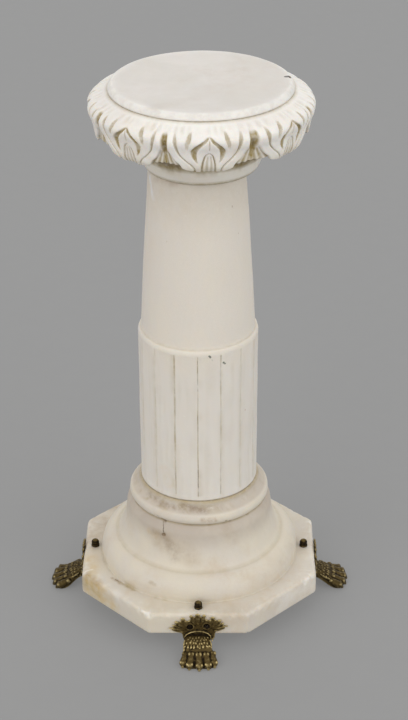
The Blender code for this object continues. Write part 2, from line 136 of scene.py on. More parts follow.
def wander(points, size, seed):
    """Smooth unevenness of about -1 to 1 over points in mm, with swells of this size."""
    draw = np.random.default_rng(seed)
    total = np.zeros(points.shape[:-1])
    for weight, scale in ((0.55, 1.0), (0.35, 0.5), (0.2, 0.25)):
        for _ in range(4):
            way = draw.normal(size=3)
            way *= math.tau / (2 * size * scale * np.linalg.norm(way))
            total += weight * np.sin(points @ way + draw.uniform(0, math.tau))
    return total / 2


def wrapped(degrees):
    """An angle brought to between -180 and 180 degrees."""
    return (degrees + 180.0) % 360.0 - 180.0


def turned(profile, angles):
    """Radii and heights at every angle of a turned form, from its (radius, height) profile."""
    profile = np.array(profile, float)
    return profile[:, :1] + 0 * angles, profile[:, 1:] + 0 * angles


def stacked(rows):
    """Radii and heights of a form whose rows are pairs of them over the same angles."""
    return (np.array([row[i] for row in rows]) for i in (0, 1))


def round_points(angles, radii, heights, centre=0.0):
    """Points in mm from angles in degrees, radii and heights of matching shape."""
    turn = np.radians(angles)
    return np.stack([centre + radii * np.cos(turn), radii * np.sin(turn), heights + 0 * turn], -1)


def to_capsule(points, start, end):
    """Distance in mm from points to the straight line between two places."""
    start, end = np.array(start, float), np.array(end, float)
    run = end - start
    share = np.clip(((points - start) @ run) / max(run @ run, 1e-6), 0, 1)
    return np.linalg.norm(points - start - share[..., None] * run, axis=-1)


# Meshes

def store(mesh, name, values):
    """Keep one number for each point of a mesh, for its material to read."""
    layer = mesh.attributes.new(name, "FLOAT", "POINT")
    layer.data.foreach_set("value", np.asarray(values, np.float32).ravel())


def points_of(mesh):
    """The points of a mesh, one row for each."""
    points = np.empty(len(mesh.vertices) * 3, np.float32)
    mesh.vertices.foreach_get("co", points)
    return points.reshape(-1, 3)


def skin(name, rings, marks=None):
    """Close a grid of rings, given from the top down, into one round body."""
    rows, columns = rings.shape[:2]
    index = np.arange(rows * columns).reshape(rows, columns)
    beside = np.roll(index, -1, axis=1)
    quads = np.stack([index[:-1], index[1:], beside[1:], beside[:-1]], -1).reshape(-1, 4)
    faces = quads.tolist() + [index[0].tolist(), index[-1][::-1].tolist()]
    mesh = bpy.data.meshes.new(name)
    mesh.from_pydata((rings.reshape(-1, 3) * MM).tolist(), [], faces)
    mesh.update()
    for mark, values in (marks or {}).items():
        store(mesh, mark, values)
    mesh.shade_smooth()
    return mesh


def settle(name, mesh, material, node):
    """Put a finished mesh in the scene in place of its CAD node."""
    piece = loose(name, mesh)
    mesh.materials.append(material)
    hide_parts(node)
    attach(piece, "root")


def loose(name, data):
    """An object in the scene that holds a mesh, light or camera."""
    piece = bpy.data.objects.new(name, data)
    bpy.context.scene.collection.objects.link(piece)
    return piece


def loft(work, rings):
    """Close rings of points in a work mesh into one body."""
    for near, far in zip(rings, rings[1:]):
        for i in range(len(near)):
            j = (i + 1) % len(near)
            work.faces.new((near[i], near[j], far[j], far[i]))
    work.faces.new(rings[0][::-1])
    work.faces.new(rings[-1])


def drilled(piece, drills):
    """Mesh of an object as its modifiers leave it, with these drills cut out of it."""
    cutter = loose("drills", drills)
    cut = piece.modifiers.new("holes", "BOOLEAN")
    cut.object = cutter
    cut.operation = "DIFFERENCE"
    cut.solver = "EXACT"
    bpy.context.view_layer.update()
    seen = piece.evaluated_get(bpy.context.evaluated_depsgraph_get())
    mesh = bpy.data.meshes.new_from_object(seen)
    for spent in (piece, cutter):
        bpy.data.objects.remove(spent, do_unlink=True)
    return mesh


# Node trees

class Board:
    """A node tree with short ways to add nodes and join them."""

    def __init__(self, tree):
        self.tree = tree

    def add(self, kind, feeds=(), **settings):
        node = self.tree.nodes.new(kind)
        for name, value in settings.items():
            setattr(node, name, value)
        for socket, value in dict(feeds).items():
            self.feed(node.inputs[socket], value)
        return node

    def feed(self, socket, value):
        if isinstance(value, bpy.types.NodeSocket):
            self.tree.links.new(value, socket)
        else:
            socket.default_value = value

    def sum(self, operation, first, second=0.0, third=0.0, clamp=False):
        node = self.add("ShaderNodeMath", {0: first, 1: second, 2: third}, operation=operation)
        node.use_clamp = clamp
        return node.outputs[0]

    def ramp(self, value, low, high, start=0.0, end=1.0):
        """Bring low to high onto start to end, smoothly and held at both."""
        feeds = {"Value": value, "From Min": low, "From Max": high, "To Min": start, "To Max": end}
        return self.add("ShaderNodeMapRange", feeds, interpolation_type="SMOOTHSTEP").outputs[0]

    def mix(self, share, first, second, blend_type="MIX"):
        node = self.add("ShaderNodeMix", data_type="RGBA", blend_type=blend_type)
        for place, value in ((0, share), (6, first), (7, second)):
            self.feed(node.inputs[place], value)
        return node.outputs[2]

    def noise(self, where, scale, detail=4.0, roughness=0.55, distortion=0.0):
        feeds = {"Vector": where, "Scale": scale, "Detail": detail, "Roughness": roughness,
                 "Distortion": distortion}
        return self.add("ShaderNodeTexNoise", feeds).outputs

    def vector(self, operation, first, second=(0, 0, 0), output="Vector"):
        node = self.add("ShaderNodeVectorMath", {0: first, 1: second}, operation=operation)
        return node.outputs[output]

    def scaled(self, vector, size):
        node = self.add("ShaderNodeVectorMath", {0: vector, "Scale": size}, operation="SCALE")
        return node.outputs[0]

    def grey(self, value):
        return self.add("ShaderNodeCombineColor", {0: value, 1: value, 2: value}).outputs[0]

    def place(self):
        return self.add("ShaderNodeTexCoord").outputs["Object"]

    def read(self, name):
        return self.add("ShaderNodeAttribute", attribute_name=name).outputs["Fac"]


def new_group(name, inputs, outputs):
    """Start a node group; inputs are (name, kind, default) and outputs (name, kind)."""
    tree = bpy.data.node_groups.new(name, "ShaderNodeTree")
    for title, kind, default in inputs:
        socket = tree.interface.new_socket(title, in_out="INPUT", socket_type="NodeSocket" + kind)
        socket.default_value = default
    for title, kind in outputs:
        tree.interface.new_socket(title, in_out="OUTPUT", socket_type="NodeSocket" + kind)
    board = Board(tree)
    return board, board.add("NodeGroupInput").outputs, board.add("NodeGroupOutput").inputs


WHITE = (1.0, 1.0, 1.0, 1.0)


def clouded_stone_group():
    """Milky alabaster: clear and cloudy patches, warm drifts and fine grain."""
    board, given, result = new_group(
        "Clouded stone",
        (("Clear", "Color", WHITE), ("Cloud", "Color", WHITE), ("Warm", "Color", WHITE),
         ("Warm Share", "Float", 0.3), ("Size", "Float", 14.0), ("Upright", "Float", 1.0)),
        (("Color", "Color"), ("Roughness", "Float"), ("Height", "Float")))
    where = board.place()
    squeeze = board.add("ShaderNodeCombineXYZ", {"X": 1.0, "Y": 1.0, "Z": given["Upright"]})
    drawn = board.vector("MULTIPLY", where, squeeze.outputs[0])
    cloud = board.noise(drawn, given["Size"], 5.0, 0.58, 0.3)[0]
    color = board.mix(board.ramp(cloud, 0.36, 0.66), given["Clear"], given["Cloud"])
    drift = board.noise(drawn, board.sum("MULTIPLY", given["Size"], 2.9), 7.0, 0.66, 0.35)[0]
    region = board.noise(drawn, board.sum("MULTIPLY", given["Size"], 0.9), 2.0, 0.5)[0]
    warm = board.sum("MULTIPLY", board.ramp(drift, 0.4, 0.72), board.ramp(region, 0.4, 0.66))
    warm = board.sum("MULTIPLY", warm, given["Warm Share"])
    color = board.mix(warm, color, given["Warm"])
    grain = board.noise(where, 900.0, 3.0, 0.6)[0]
    speck = board.ramp(grain, 0.3, 0.7, 0.975, 1.02)
    board.feed(result["Color"], board.mix(1.0, color, board.grey(speck), "MULTIPLY"))
    board.feed(result["Roughness"], board.ramp(drift, 0.3, 0.7, 0.44, 0.58))
    soft = board.noise(where, 160.0, 4.0, 0.6)[0]
    board.feed(result["Height"], board.sum("MULTIPLY_ADD", grain, 0.25, soft))
    return board.tree


def grime_and_light_group():
    """Dirt, whitening, painted shade and painted highlight: a mask broken up by noise, laid over a
    colour.
    """
    board, given, result = new_group(
        "Grime and painted light",
        (("Base", "Color", WHITE), ("Tint", "Color", WHITE), ("Mask", "Float", 0.0),
         ("Break Up", "Float", 0.5), ("Size", "Float", 120.0)),
        (("Color", "Color"), ("Mask", "Float")))
    patchy = board.noise(board.place(), given["Size"], 5.0, 0.65)[0]
    worn = board.sum("MULTIPLY", board.ramp(patchy, 0.34, 0.6, 1.0, 0.0), given["Break Up"])
    worn = board.sum("MULTIPLY", worn, given["Mask"])
    mask = board.sum("SUBTRACT", given["Mask"], worn, clamp=True)
    board.feed(result["Color"], board.mix(mask, given["Base"], given["Tint"]))
    board.feed(result["Mask"], mask)
    return board.tree


def stroke_group():
    """A stain, crack or scuff along a line between two places in the frame, and also patches of
    painted light and painted shade.
    """
    board, given, result = new_group(
        "Stroke",
        (("Base", "Color", WHITE), ("Tint", "Color", WHITE), ("From", "Vector", (0, 0, 0)),
         ("To", "Vector", (0, 0, 0)), ("Reach", "Float", 0.002), ("Softness", "Float", 0.6),
         ("Strength", "Float", 1.0), ("Waver", "Float", 0.0005), ("Waver Size", "Float", 400.0)),
        (("Color", "Color"),))
    drift = board.noise(board.place(), given["Waver Size"], 3.0, 0.6)[1]
    drift = board.vector("SUBTRACT", drift, (0.5, 0.5, 0.5))
    where = board.vector("ADD", board.place(), board.scaled(drift, given["Waver"]))
    run = board.vector("SUBTRACT", given["To"], given["From"])
    reach = board.vector("SUBTRACT", where, given["From"])
    length = board.sum("MAXIMUM", board.vector("DOT_PRODUCT", run, run, "Value"), 1e-10)
    share = board.vector("DOT_PRODUCT", reach, run, "Value")
    share = board.sum("DIVIDE", share, length, clamp=True)
    gap = board.vector("SUBTRACT", reach, board.scaled(run, share))
    gap = board.vector("LENGTH", gap, output="Value")
    solid = board.sum("SUBTRACT", 1.0, given["Softness"])
    mask = board.ramp(gap, board.sum("MULTIPLY", given["Reach"], solid), given["Reach"], 1.0, 0.0)
    mottle_size = board.sum("MULTIPLY", given["Waver Size"], 1.3)
    mottle = board.ramp(board.noise(board.place(), mottle_size, 5.0, 0.68)[0], 0.28, 0.72)
    broken = board.sum("MULTIPLY_ADD", mottle, given["Softness"], solid)
    mask = board.sum("MULTIPLY", board.sum("MULTIPLY", mask, broken), given["Strength"])
    board.feed(result["Color"], board.mix(mask, given["Base"], given["Tint"]))
    return board.tree


def aged_brass_group():
    """Cast brass: dark and greenish in the hollows, rubbed bright where it stands proud; the bright
    is also painted highlight.
    """
    board, given, result = new_group(
        "Aged brass",
        (("Bright", "Color", WHITE), ("Body", "Color", WHITE), ("Hollow", "Color", WHITE),
         ("Proud", "Float", 0.5), ("Rub", "Float", 0.5)),
        (("Color", "Color"), ("Roughness", "Float"), ("Height", "Float")))
    where = board.place()
    blotch = board.noise(where, 260.0, 5.0, 0.62)[0]
    pits = board.noise(where, 1500.0, 3.0, 0.6)[0]
    proud = board.sum("ADD", given["Proud"], board.ramp(blotch, 0.3, 0.7, -0.14, 0.14))
    color = board.mix(board.ramp(proud, 0.2, 0.52), given["Hollow"], given["Body"])
    bright = board.sum("MULTIPLY", board.ramp(proud, 0.62, 1.0), given["Rub"])
    color = board.mix(bright, color, given["Bright"])
    dull = board.ramp(pits, 0.35, 0.7, 0.8, 1.06)
    board.feed(result["Color"], board.mix(1.0, color, board.grey(dull), "MULTIPLY"))
    board.feed(result["Roughness"], board.ramp(proud, 0.3, 0.85, 0.62, 0.34))
    board.feed(result["Height"], board.sum("MULTIPLY_ADD", blotch, 0.8, pits))
    return board.tree


def group_named(name):
    """The node group of this name, built the first time it is asked for."""
    makers = {"Clouded stone": clouded_stone_group, "Grime and painted light": grime_and_light_group,
              "Stroke": stroke_group, "Aged brass": aged_brass_group}
    return bpy.data.node_groups.get(name) or makers[name]()


def use_group(board, name, feeds):
    """Add a node group to a board with these inputs, and give its outputs."""
    node = board.add("ShaderNodeGroup", node_tree=group_named(name))
    for title, value in feeds.items():
        board.feed(node.inputs[title], value)
    return node.outputs


def new_material(name, **values):
    """A material, its board and its shader, with these plain values on the shader."""
    made = bpy.data.materials.new(name)
    made.use_nodes = True
    shader = made.node_tree.nodes["Principled BSDF"]
    for title, value in values.items():
        shader.inputs[title.replace("_", " ")].default_value = value
    return made, Board(made.node_tree), shader


def feed_shader(board, shader, color, rough, height, strength, distance):
    """Feed a shader its colour, roughness and fine relief."""
    board.feed(shader.inputs["Base Color"], color)
    board.feed(shader.inputs["Roughness"], rough)
    bump = board.add("ShaderNodeBump", {
        "Height": height, "Strength": strength, "Distance": distance})
    board.feed(shader.inputs["Normal"], bump.outputs[0])


# Finishes

def srgb(red, green, blue):
    """Colour of a photograph's 0 to 255 values as the renderer's own numbers."""
    def straightened(part):
        part /= 255
        return part / 12.92 if part <= 0.04045 else ((part + 0.055) / 1.055) ** 2.4
    return (straightened(red), straightened(green), straightened(blue), 1.0)


OLIVE_DIRT = srgb(158, 138, 82)
BROWN_DIRT = srgb(88, 64, 34)
PINK_DIRT = srgb(170, 140, 112)
RUST = srgb(176, 116, 62)
YELLOW = srgb(206, 172, 96)
GREEN_BLACK = srgb(38, 62, 48)
NEAR_BLACK = srgb(46, 36, 26)
TAN = srgb(172, 150, 120)
STONE_BROWN = srgb(138, 116, 92)
PALE_SCUFF = srgb(236, 238, 244)
CHALK = srgb(244, 242, 236)

# Each stone as (cloud, warm, share of warm, size, upright, tint where it is shaded)
LOOKS = {
    "disc": (srgb(229, 224, 219), srgb(216, 203, 194), 0.6, 13.0, 1.0, srgb(214, 208, 199)),
    "capital": (srgb(238, 233, 227), srgb(232, 220, 200), 0.4, 16.0, 1.0, srgb(222, 211, 186)),
    "shaft": (srgb(226, 219, 210), srgb(221, 208, 190), 0.45, 9.0, 0.4, srgb(227, 221, 212)),
    "base": (srgb(214, 206, 194), srgb(205, 188, 164), 0.6, 12.0, 1.0, srgb(186, 174, 161)),
}
# Strokes on each stone as (tint, from, to, reach, softness, strength, waver), in mm. A stone
# takes 45 at most: with about 50 the renderer runs out of room for the shader and it turns black
STROKES = {
    "disc": (
        (NEAR_BLACK, (109.6, 14, 742), (114, 15.2, 741), 3.3, 0.35, 0.97, 1.5),
        (TAN, (-53.6, -94.6, 740), (-30, -80, 742), 16, 0.95, 0.15, 8),
        (TAN, (-18.9, -66.7, 742), (6, -60, 742), 13, 0.95, 0.1, 8),
        (TAN, (44, 30, 742), (58, 40, 742), 16, 0.95, 0.14, 8),
    ),
    "shaft": (
        (PALE_SCUFF, (-58.2, -20.5, 622), (-54.5, -31.6, 600), 5.5, 0.75, 0.6, 7),
        (CHALK, (-14.4, -62, 589.3), (4.1, -62.9, 599.1), 0.7, 0.5, 0.5, 1),
        (TAN, (43.4, -46.1, 595.6), (43.6, -46.1, 594.6), 1.4, 0.6, 0.7, 1),
        (TAN, (-37.2, -54.4, 551.9), (-37.2, -54.4, 551), 1.2, 0.6, 0.6, 1),
        (TAN, (51, -41.2, 556.7), (51, -41.2, 556), 1.3, 0.6, 0.6, 1),
        (GREEN_BLACK, (15.2, -77.2, 401), (16.6, -76.9, 399.4), 1.7, 0.45, 0.9, 2.5),
        (GREEN_BLACK, (18.6, -76.6, 395), (19.4, -76.4, 394), 1.6, 0.8, 0.3, 2.5),
        (GREEN_BLACK, (33.4, -71.2, 388.8), (35.4, -70.2, 386.2), 1.7, 0.4, 0.95, 3),
        (RUST, (61.9, -48.1, 305.8), (62.1, -48, 304.4), 1.3, 0.6, 0.6, 1),
        (CHALK, (-19.2, -76.1, 312.5), (-17.2, -76.6, 312), 1.1, 0.6, 0.8, 1),
        (PINK_DIRT, (-51.6, -33.7, 626), (-26.4, -55.3, 629), 8, 0.9, 0.35, 6),
        (YELLOW, (-44, -64.7, 222.9), (-37.5, -68.7, 205), 13, 0.95, 0.2, 8),
        (BROWN_DIRT, (0, -78.6, 232), (0, -78.6, 204), 0.9, 0.6, 0.8, 0.8),
    ),
    "base": (
        (BROWN_DIRT, (-55.5, -75.2, 158.6), (-49, -77.8, 153.8), 0.9, 0.7, 0.55, 1.5),
        (NEAR_BLACK, (-49.4, -77.6, 153.8), (-44.6, -80.2, 152.6), 1.8, 0.5, 0.9, 1.5),
        (BROWN_DIRT, (-47.3, -78.6, 152.5), (-46.6, -83.5, 144.5), 0.85, 0.6, 0.85, 1.5),
        (NEAR_BLACK, (-46.6, -83.8, 144), (-46.8, -86, 136.5), 0.9, 0.6, 0.9, 1.5),
        (NEAR_BLACK, (-46, -86.6, 134.9), (-47.8, -85.9, 134), 2.6, 0.35, 0.95, 2),
        (STONE_BROWN, (-60, -78.5, 133.5), (-48.5, -85.2, 133), 8, 0.95, 0.45, 6),
        (YELLOW, (-66, -74.8, 131), (-56, -81, 130), 10, 0.95, 0.35, 6),
        (STONE_BROWN, (-47, -87.2, 131), (-38, -92, 120), 11, 0.95, 0.42, 6),
        (TAN, (-54, -83, 127), (-8, -102, 112), 25, 0.95, 0.5, 10),
        (STONE_BROWN, (-38, -92.1, 125), (-32, -96.8, 108), 13, 0.95, 0.42, 8),
        (NEAR_BLACK, (36, -85.6, 155.9), (37.5, -84.9, 155.6), 1.2, 0.5, 0.85, 1.5),
        (NEAR_BLACK, (41, -82.3, 153), (43.2, -81.2, 152.6), 1.5, 0.5, 0.85, 1.5),
        (TAN, (38, -87, 142), (49, -86, 128), 14, 0.95, 0.3, 9),
        (STONE_BROWN, (-67, -50, 176), (-50, -66, 173), 8, 0.95, 0.38, 6),
        (STONE_BROWN, (-50, -69, 173.5), (-32, -78, 172.5), 7, 0.95, 0.6, 6),
        (STONE_BROWN, (-24, -80, 175), (10, -84, 172.5), 8, 0.95, 0.8, 7),
        (STONE_BROWN, (10, -83, 174.5), (30, -78, 173.5), 6, 0.95, 0.3, 7),
        (PINK_DIRT, (6, -93, 162), (22, -90.8, 161), 6, 0.95, 0.65, 5),
        (CHALK, (14, -83, 174.5), (20, -81.8, 174.5), 3, 0.9, 0.45, 4),
        (TAN, (-118, -78.1, 58), (-106.6, -89.6, 58), 4.2, 0.85, 0.8, 4),
        (OLIVE_DIRT, (-106.6, -89.6, 58), (-88.3, -105.6, 58), 4, 0.9, 0.5, 4),
        (BROWN_DIRT, (-113, -81.6, 58), (-108.6, -86.2, 58.5), 1.6, 0.7, 0.7, 2.5),
        (YELLOW, (-149, -74, 50), (-126, -114, 46), 18, 0.9, 0.8, 9),
        (OLIVE_DIRT, (-150, -78, 34), (-118, -122, 40), 15, 0.95, 0.36, 9),
        (OLIVE_DIRT, (-138, -98, 56), (-122, -114, 54), 9, 0.9, 0.45, 7),
        (YELLOW, (-152, -72, 34), (-112, -118, 34), 13, 0.95, 0.55, 9),
        (TAN, (-160, -60, 40), (-160, 40, 40), 20, 0.95, 0.6, 10),
        (YELLOW, (-146, -60, 58), (-152, -28, 58), 13, 0.95, 0.4, 9),
        (BROWN_DIRT, (-151.1, -71.2, 58), (-135, -89.7, 58), 1.1, 0.7, 0.9, 3),
        # Painted shade inside the empty right screw hole of the front plate
        (NEAR_BLACK, (10.9, -158.5, 40.3), (10.9, -144, 40.3), 3.2, 0.2, 0.97, 0.2),
        (TAN, (-156, -64, 57), (-138, -88, 57), 12, 0.95, 0.6, 8),
        (OLIVE_DIRT, (-152, -70, 57), (-144, -80, 57), 8, 0.95, 0.35, 6),
        (CHALK, (-156.4, -61, 57), (-146, -58, 58), 2, 0.6, 0.6, 3),
        (NEAR_BLACK, (-129.7, 95.4, 58), (-129, 95.8, 58), 1.3, 0.5, 0.8, 1),
        (TAN, (-64.8, -114.5, 77.6), (-58, -119, 76), 4, 0.85, 0.6, 4),
        (CHALK, (-88, -143, 56), (-66, -154.8, 56), 3, 0.7, 0.8, 4),
        (CHALK, (94, -137.5, 57), (98, -135.5, 57), 2.6, 0.6, 0.8, 3),
        (CHALK, (140, -92, 55), (151, -68, 55), 3, 0.7, 0.6, 4),
        (TAN, (-150, 10, 58), (-122, 100, 58), 30, 0.95, 0.65, 10),
        (TAN, (118, -70, 80), (134, -20, 78), 24, 0.95, 0.3, 12),
        # Painted light brightening the plinth's front-right face
        (CHALK, (152, -72, 42), (116, -120, 42), 24, 0.95, 0.4, 12),
        (OLIVE_DIRT, (-156, -68, 44), (-142, -92, 42), 14, 0.95, 0.45, 8),
        (YELLOW, (-124, -118, 46), (-114, -128, 40), 9, 0.95, 0.55, 7),
        (YELLOW, (-150, -20, 58), (-146, -58, 58), 20, 0.95, 0.35, 9),
        (TAN, (-60, -150, 58), (60, -152, 58), 26, 0.95, 0.25, 9),
    ),
}


def stone_material(kind):
    """Alabaster for one piece: clouds, painted shade, rubbed edges and painted highlights, dirt in
    the carving and painted shade under things, then its strokes.
    """
    made, board, shader = new_material(
        f"{kind} alabaster", Subsurface_Weight=0.25, Subsurface_Radius=(1.0, 0.75, 0.5),
        Subsurface_Scale=0.004, Specular_IOR_Level=0.3)
    clear = getattr(bpy.context.scene.column_stone, kind)
    cloud, warm, warm_share, size, upright, dark = LOOKS[kind]
    stone = use_group(board, "Clouded stone", {
        "Clear": (*clear, 1), "Cloud": cloud, "Warm": warm, "Warm Share": warm_share,
        "Size": size, "Upright": upright})
    color = stone["Color"]
    # Painted shade, whitening for wear and painted highlights, then dirt and soot that also carry
    # painted shade
    for tint, mask, break_up, size in (
            (dark, "shade", 0.3, 26.0), (CHALK, "pale_and_highlight", 0.7, 95.0),
            (OLIVE_DIRT, "dirt_and_shade", 0.4, 110.0), (BROWN_DIRT, "soot_and_shade", 0.35, 170.0)):
        layer = use_group(board, "Grime and painted light", {
            "Base": color, "Tint": tint, "Mask": board.read(mask), "Break Up": break_up,
            "Size": size})
        color = layer["Color"]
    rough = board.sum("MULTIPLY_ADD", layer["Mask"], 0.3, stone["Roughness"], clamp=True)
    for tint, start, end, reach, softness, strength, waver in STROKES.get(kind, ()):
        color = use_group(board, "Stroke", {
            "Base": color, "Tint": tint, "From": Vector(start) * MM, "To": Vector(end) * MM,
            "Reach": reach * MM, "Softness": softness, "Strength": strength,
            "Waver": waver * MM, "Waver Size": 700.0 / max(reach, 1.5)})["Color"]
    feed_shader(board, shader, color, rough, stone["Height"], 0.25, 0.0004)
    return made


def brass_material(name, proud, rub, shade_dim=1.0):
    """Aged brass; proud is one height for it all, or None to read it from the mesh. The last
    argument darkens the body colour as painted shade.
    """
    made, board, shader = new_material(name, Metallic=0.85)
    settings = bpy.context.scene.column_brass
    brass = use_group(board, "Aged brass", {
        "Bright": (*settings.bright, 1.0), "Body": (*(part * shade_dim for part in settings.body), 1.0),
        "Hollow": (*settings.hollow, 1.0), "Rub": rub,
        "Proud": board.read("proud") if proud is None else proud})
    feed_shader(board, shader, brass["Color"], brass["Roughness"], brass["Height"], 0.35, 0.0003)
    return made


# Settings that a user would change

def color_setting(name, what, *color):
    """A colour that the panel offers, with a photograph's 0 to 255 values as its default."""
    return FloatVectorProperty(
        name=name, description=f"Colour of {what}", subtype="COLOR", size=3,
        default=srgb(*color)[:3], min=0, max=1)


class StoneSettings(bpy.types.PropertyGroup):
    disc: color_setting("Disc", "the loose disc", 220, 215, 208)
    capital: color_setting("Capital", "the leaf ring", 246, 243, 237)
    shaft: color_setting("Shaft", "the shaft and drum", 229, 221, 208)
    base: color_setting("Base", "the base and plinth", 219, 210, 193)
    columns: IntProperty(
        name="Columns", description="Columns of mesh across one leaf of the capital",
        default=120, min=24, max=160)


class BrassSettings(bpy.types.PropertyGroup):
    bright: color_setting("Rubbed and highlight", "the rubbed high spots and painted highlights", 204, 184, 130)
    body: color_setting("Body", "the aged metal", 104, 87, 50)
    hollow: color_setting("Hollows", "the dark hollows", 38, 29, 17)
    detail: FloatProperty(
        name="Cast detail", description="Size of the finest form in the castings",
        default=0.55 * MM, min=0.0003, max=0.003, subtype="DISTANCE", unit="LENGTH")


class StageSettings(bpy.types.PropertyGroup):
    floor: color_setting("Floor", "the floor", 115, 115, 115)
    glow: FloatProperty(
        name="Floor glow", description="Light of the floor itself, which softens the shadow",
        default=0.9, min=0)
    sky: FloatProperty(
        name="Room light", description="Strength of the even light from all round",
        default=0.6, min=0)
    key: FloatProperty(
        name="Key light", description="Strength of the soft light from the front",
        default=0.98, min=0)


# Top disc, as (radius, height above its foot) from the top's rim down
DISC_RIM = (
    (107.6, 8.8), (108.8, 8.72), (110.2, 8.2), (111.5, 7.3), (112.7, 5.9), (113.7, 4.4),
    (114.4, 2.6), (114.8, 1.2), (114.6, 0.4), (113.8, 0.0),
)
DISC_FLAT = (2, 104, 26)     # rings of the flat top: from, to, how many
DISC_THICK = 8.8
DISC_COLUMNS = 288


class COLUMN_OT_disc(bpy.types.Operator):
    """Turn the loose disc, with its worn rim and small chip"""
    bl_idname = "column.disc"
    bl_label = "Turn the disc"

    def execute(self, context):
        angles = np.arange(DISC_COLUMNS) * 360 / DISC_COLUMNS
        flat = [(radius, DISC_THICK) for radius in np.linspace(*DISC_FLAT)]
        radii, heights = turned(flat + list(DISC_RIM) + [(60.0, 0.0)], angles)
        points = round_points(angles, radii, heights)
        edge = blend(radii, 70, 110) * blend(heights, -0.5, 3.0)
        swell = wander(points, 60, 5) * 0.22 + wander(points, 14, 6) * 0.08
        radii = radii + edge * (wander(points, 45, 7) * 0.35 - 0.3)
        chip = to_capsule(points, (110.5, 14.2, DISC_THICK), (114.5, 15.4, 6.5))
        radii = radii - 1.6 * hump(chip, 4.0) * edge
        heights = heights + (swell - 0.25) * blend(heights, 7, DISC_THICK)
        heights = heights - 1.1 * hump(chip, 3.6) * edge
        rings = round_points(angles, radii, heights + DISC_FOOT, CAPITAL_X)
        rings[..., 2] = np.minimum(rings[..., 2], DISC_TOP)
        left = blend(-np.cos(np.radians(angles + 30)) + 0 * radii, 0.1, 0.8)
        rim = blend(radii, 106, 109.5) * blend(heights, 0.8, 2.6)
        # The rounded rim is painted pale as a highlight and the flat top a little darker as painted
        # shade; the joint underneath and the chip are dirty, most on the left
        marks = {
            "dirt_and_shade": blend(-heights, -1.6, 0.2) * (0.3 + 0.5 * left),
            "soot_and_shade": 0.35 * hump(chip, 2.4) + 0.3 * left * blend(-heights, -0.8, 0.2),
            "pale_and_highlight": rim * 0.65,
            "shade": 0.35 * blend(-radii, -106, -96) * blend(heights, 8, 8.6)}
        mesh = skin("disc", rings, marks=marks)
        settle("alabaster_disc", mesh, stone_material("disc"), "top_disc")
        return {"FINISHED"}


# Capital: the ring's face runs from the disc joint out, round and down to the lip, as (radius,
# drop under the capital's top). So does the hollow under it, down the bowl to the neck's foot
RING_FACE = (
    (114.8, 0.0), (122.5, 3.6), (130.0, 6.9), (135.7, 10.2), (140.2, 16.8), (138.9, 23.8),
    (135.9, 31.4), (134.4, 38.0), (133.0, 45.5), (130.4, 51.4), (125.4, 56.6),
)
UNDER_FACE = (
    (118.0, 53.6), (112.0, 55.2), (104.0, 57.4), (96.0, 60.2), (88.5, 64.0), (82.5, 68.6),
    (79.0, 73.0), (77.4, 77.5), (76.8, 82.5), (75.6, 88.0), (73.6, 93.4), (71.4, 97.4),
    (70.1, 99.1),
)
# The lip's underside as (in from the lip, down from it)
LIP_ROLL = ((0.5, 0.55), (1.3, 0.75), (2.2, 0.6), (3.2, -0.6), (5.2, -1.9))
LEAF_COUNT = 8
LEAF_PHASE = 4.6             # the front leaf stands this many degrees right of the front
LEAF_HALF = 180 / LEAF_COUNT
LEAF_SHIFT = (0.0, 3.4, 0.8, -0.6, 0.7, -0.9, 0.4, 0.4)
LEAF_LEAN_LEFT = (-0.06, 0.02, 0.03, -0.02, 0.0, 0.04, -0.03, 0.02)
LEAF_LEAN_RIGHT = (0.09, -0.02, 0.03, 0.02, -0.03, 0.0, 0.04, -0.02)
ACROSS = math.radians(1) * 137            # mm across the ring's face in one degree

# Lines of the carving, as (way down the face, degrees from the leaf's axis)
LIP_LINE = (
    (0, 74.3), (3.2, 73.9), (6.2, 73.2), (7.4, 70.4), (8.6, 70.8), (11, 68.8), (13.4, 66.6),
    (14.6, 64.4), (17, 65.0), (18.6, 63.6), (20.2, 64.2), (21.4, 62.8), (22.5, 63.4),
)
ARCH_LINE = (
    (23.6, 0.3), (31, 2.7), (36.3, 5.1), (42, 6.9), (47, 7.3), (55, 6.6), (64, 4.8), (75, 4.4))
INNER_LINE = ((46.6, 0.1), (49, 1.4), (51, 2.1), (58, 3.05), (65.7, 3.6), (75, 3.7))
SLOT_LINE = ((14, 8.8), (28, 9.6), (35, 10.4), (43, 10.5), (52, 9.9), (75, 5.6))
FOLD_LINE = (
    (14, 17.2), (30, 16.4), (38, 15.9), (48.5, 14.4), (56, 11.7), (62, 9.0), (66, 7.6), (75, 6.8))
STRAP_LINE = (
    (14, 20.4), (30, 20.7), (38, 20.8), (47, 19.4), (58, 16.5), (62.5, 14.5), (75, 13.2))
# Half widths in mm and depths in mm of the cuts along those lines
ARCH_HALF = (
    (21, 0.6), (25, 1.5), (30, 2.7), (37, 3.8), (44, 4.0), (50, 3.0), (56, 1.7), (62, 0.8),
    (75, 0.6))
ARCH_DEEP = (
    (21.5, 0.0), (25, 1.5), (30, 2.6), (38, 3.3), (47, 3.0), (54, 1.8), (61, 0.4), (75, 0.0))
SLOT_HALF = ((13, 0.6), (18, 2.0), (26, 3.1), (33, 2.9), (40, 1.6), (44, 0.7), (75, 0.4))
SLOT_DEEP = ((13, 0.0), (17, 0.9), (24, 2.0), (31, 2.0), (38, 1.0), (44, 0.0), (75, 0.0))
FOLD_HALF = ((13, 0.9), (22, 1.8), (30, 2.8), (38, 2.0), (46, 1.3), (64, 1.2), (75, 1.2))
FOLD_DEEP = ((12, 0.2), (20, 1.2), (30, 2.6), (40, 2.2), (56, 1.8), (68, 1.5), (75, 1.0))
DART_HALF = ((13, 0.6), (17, 2.8), (22, 4.6), (30, 5.2), (42, 4.9), (50, 3.6), (58, 1.8), (75, 0.8))
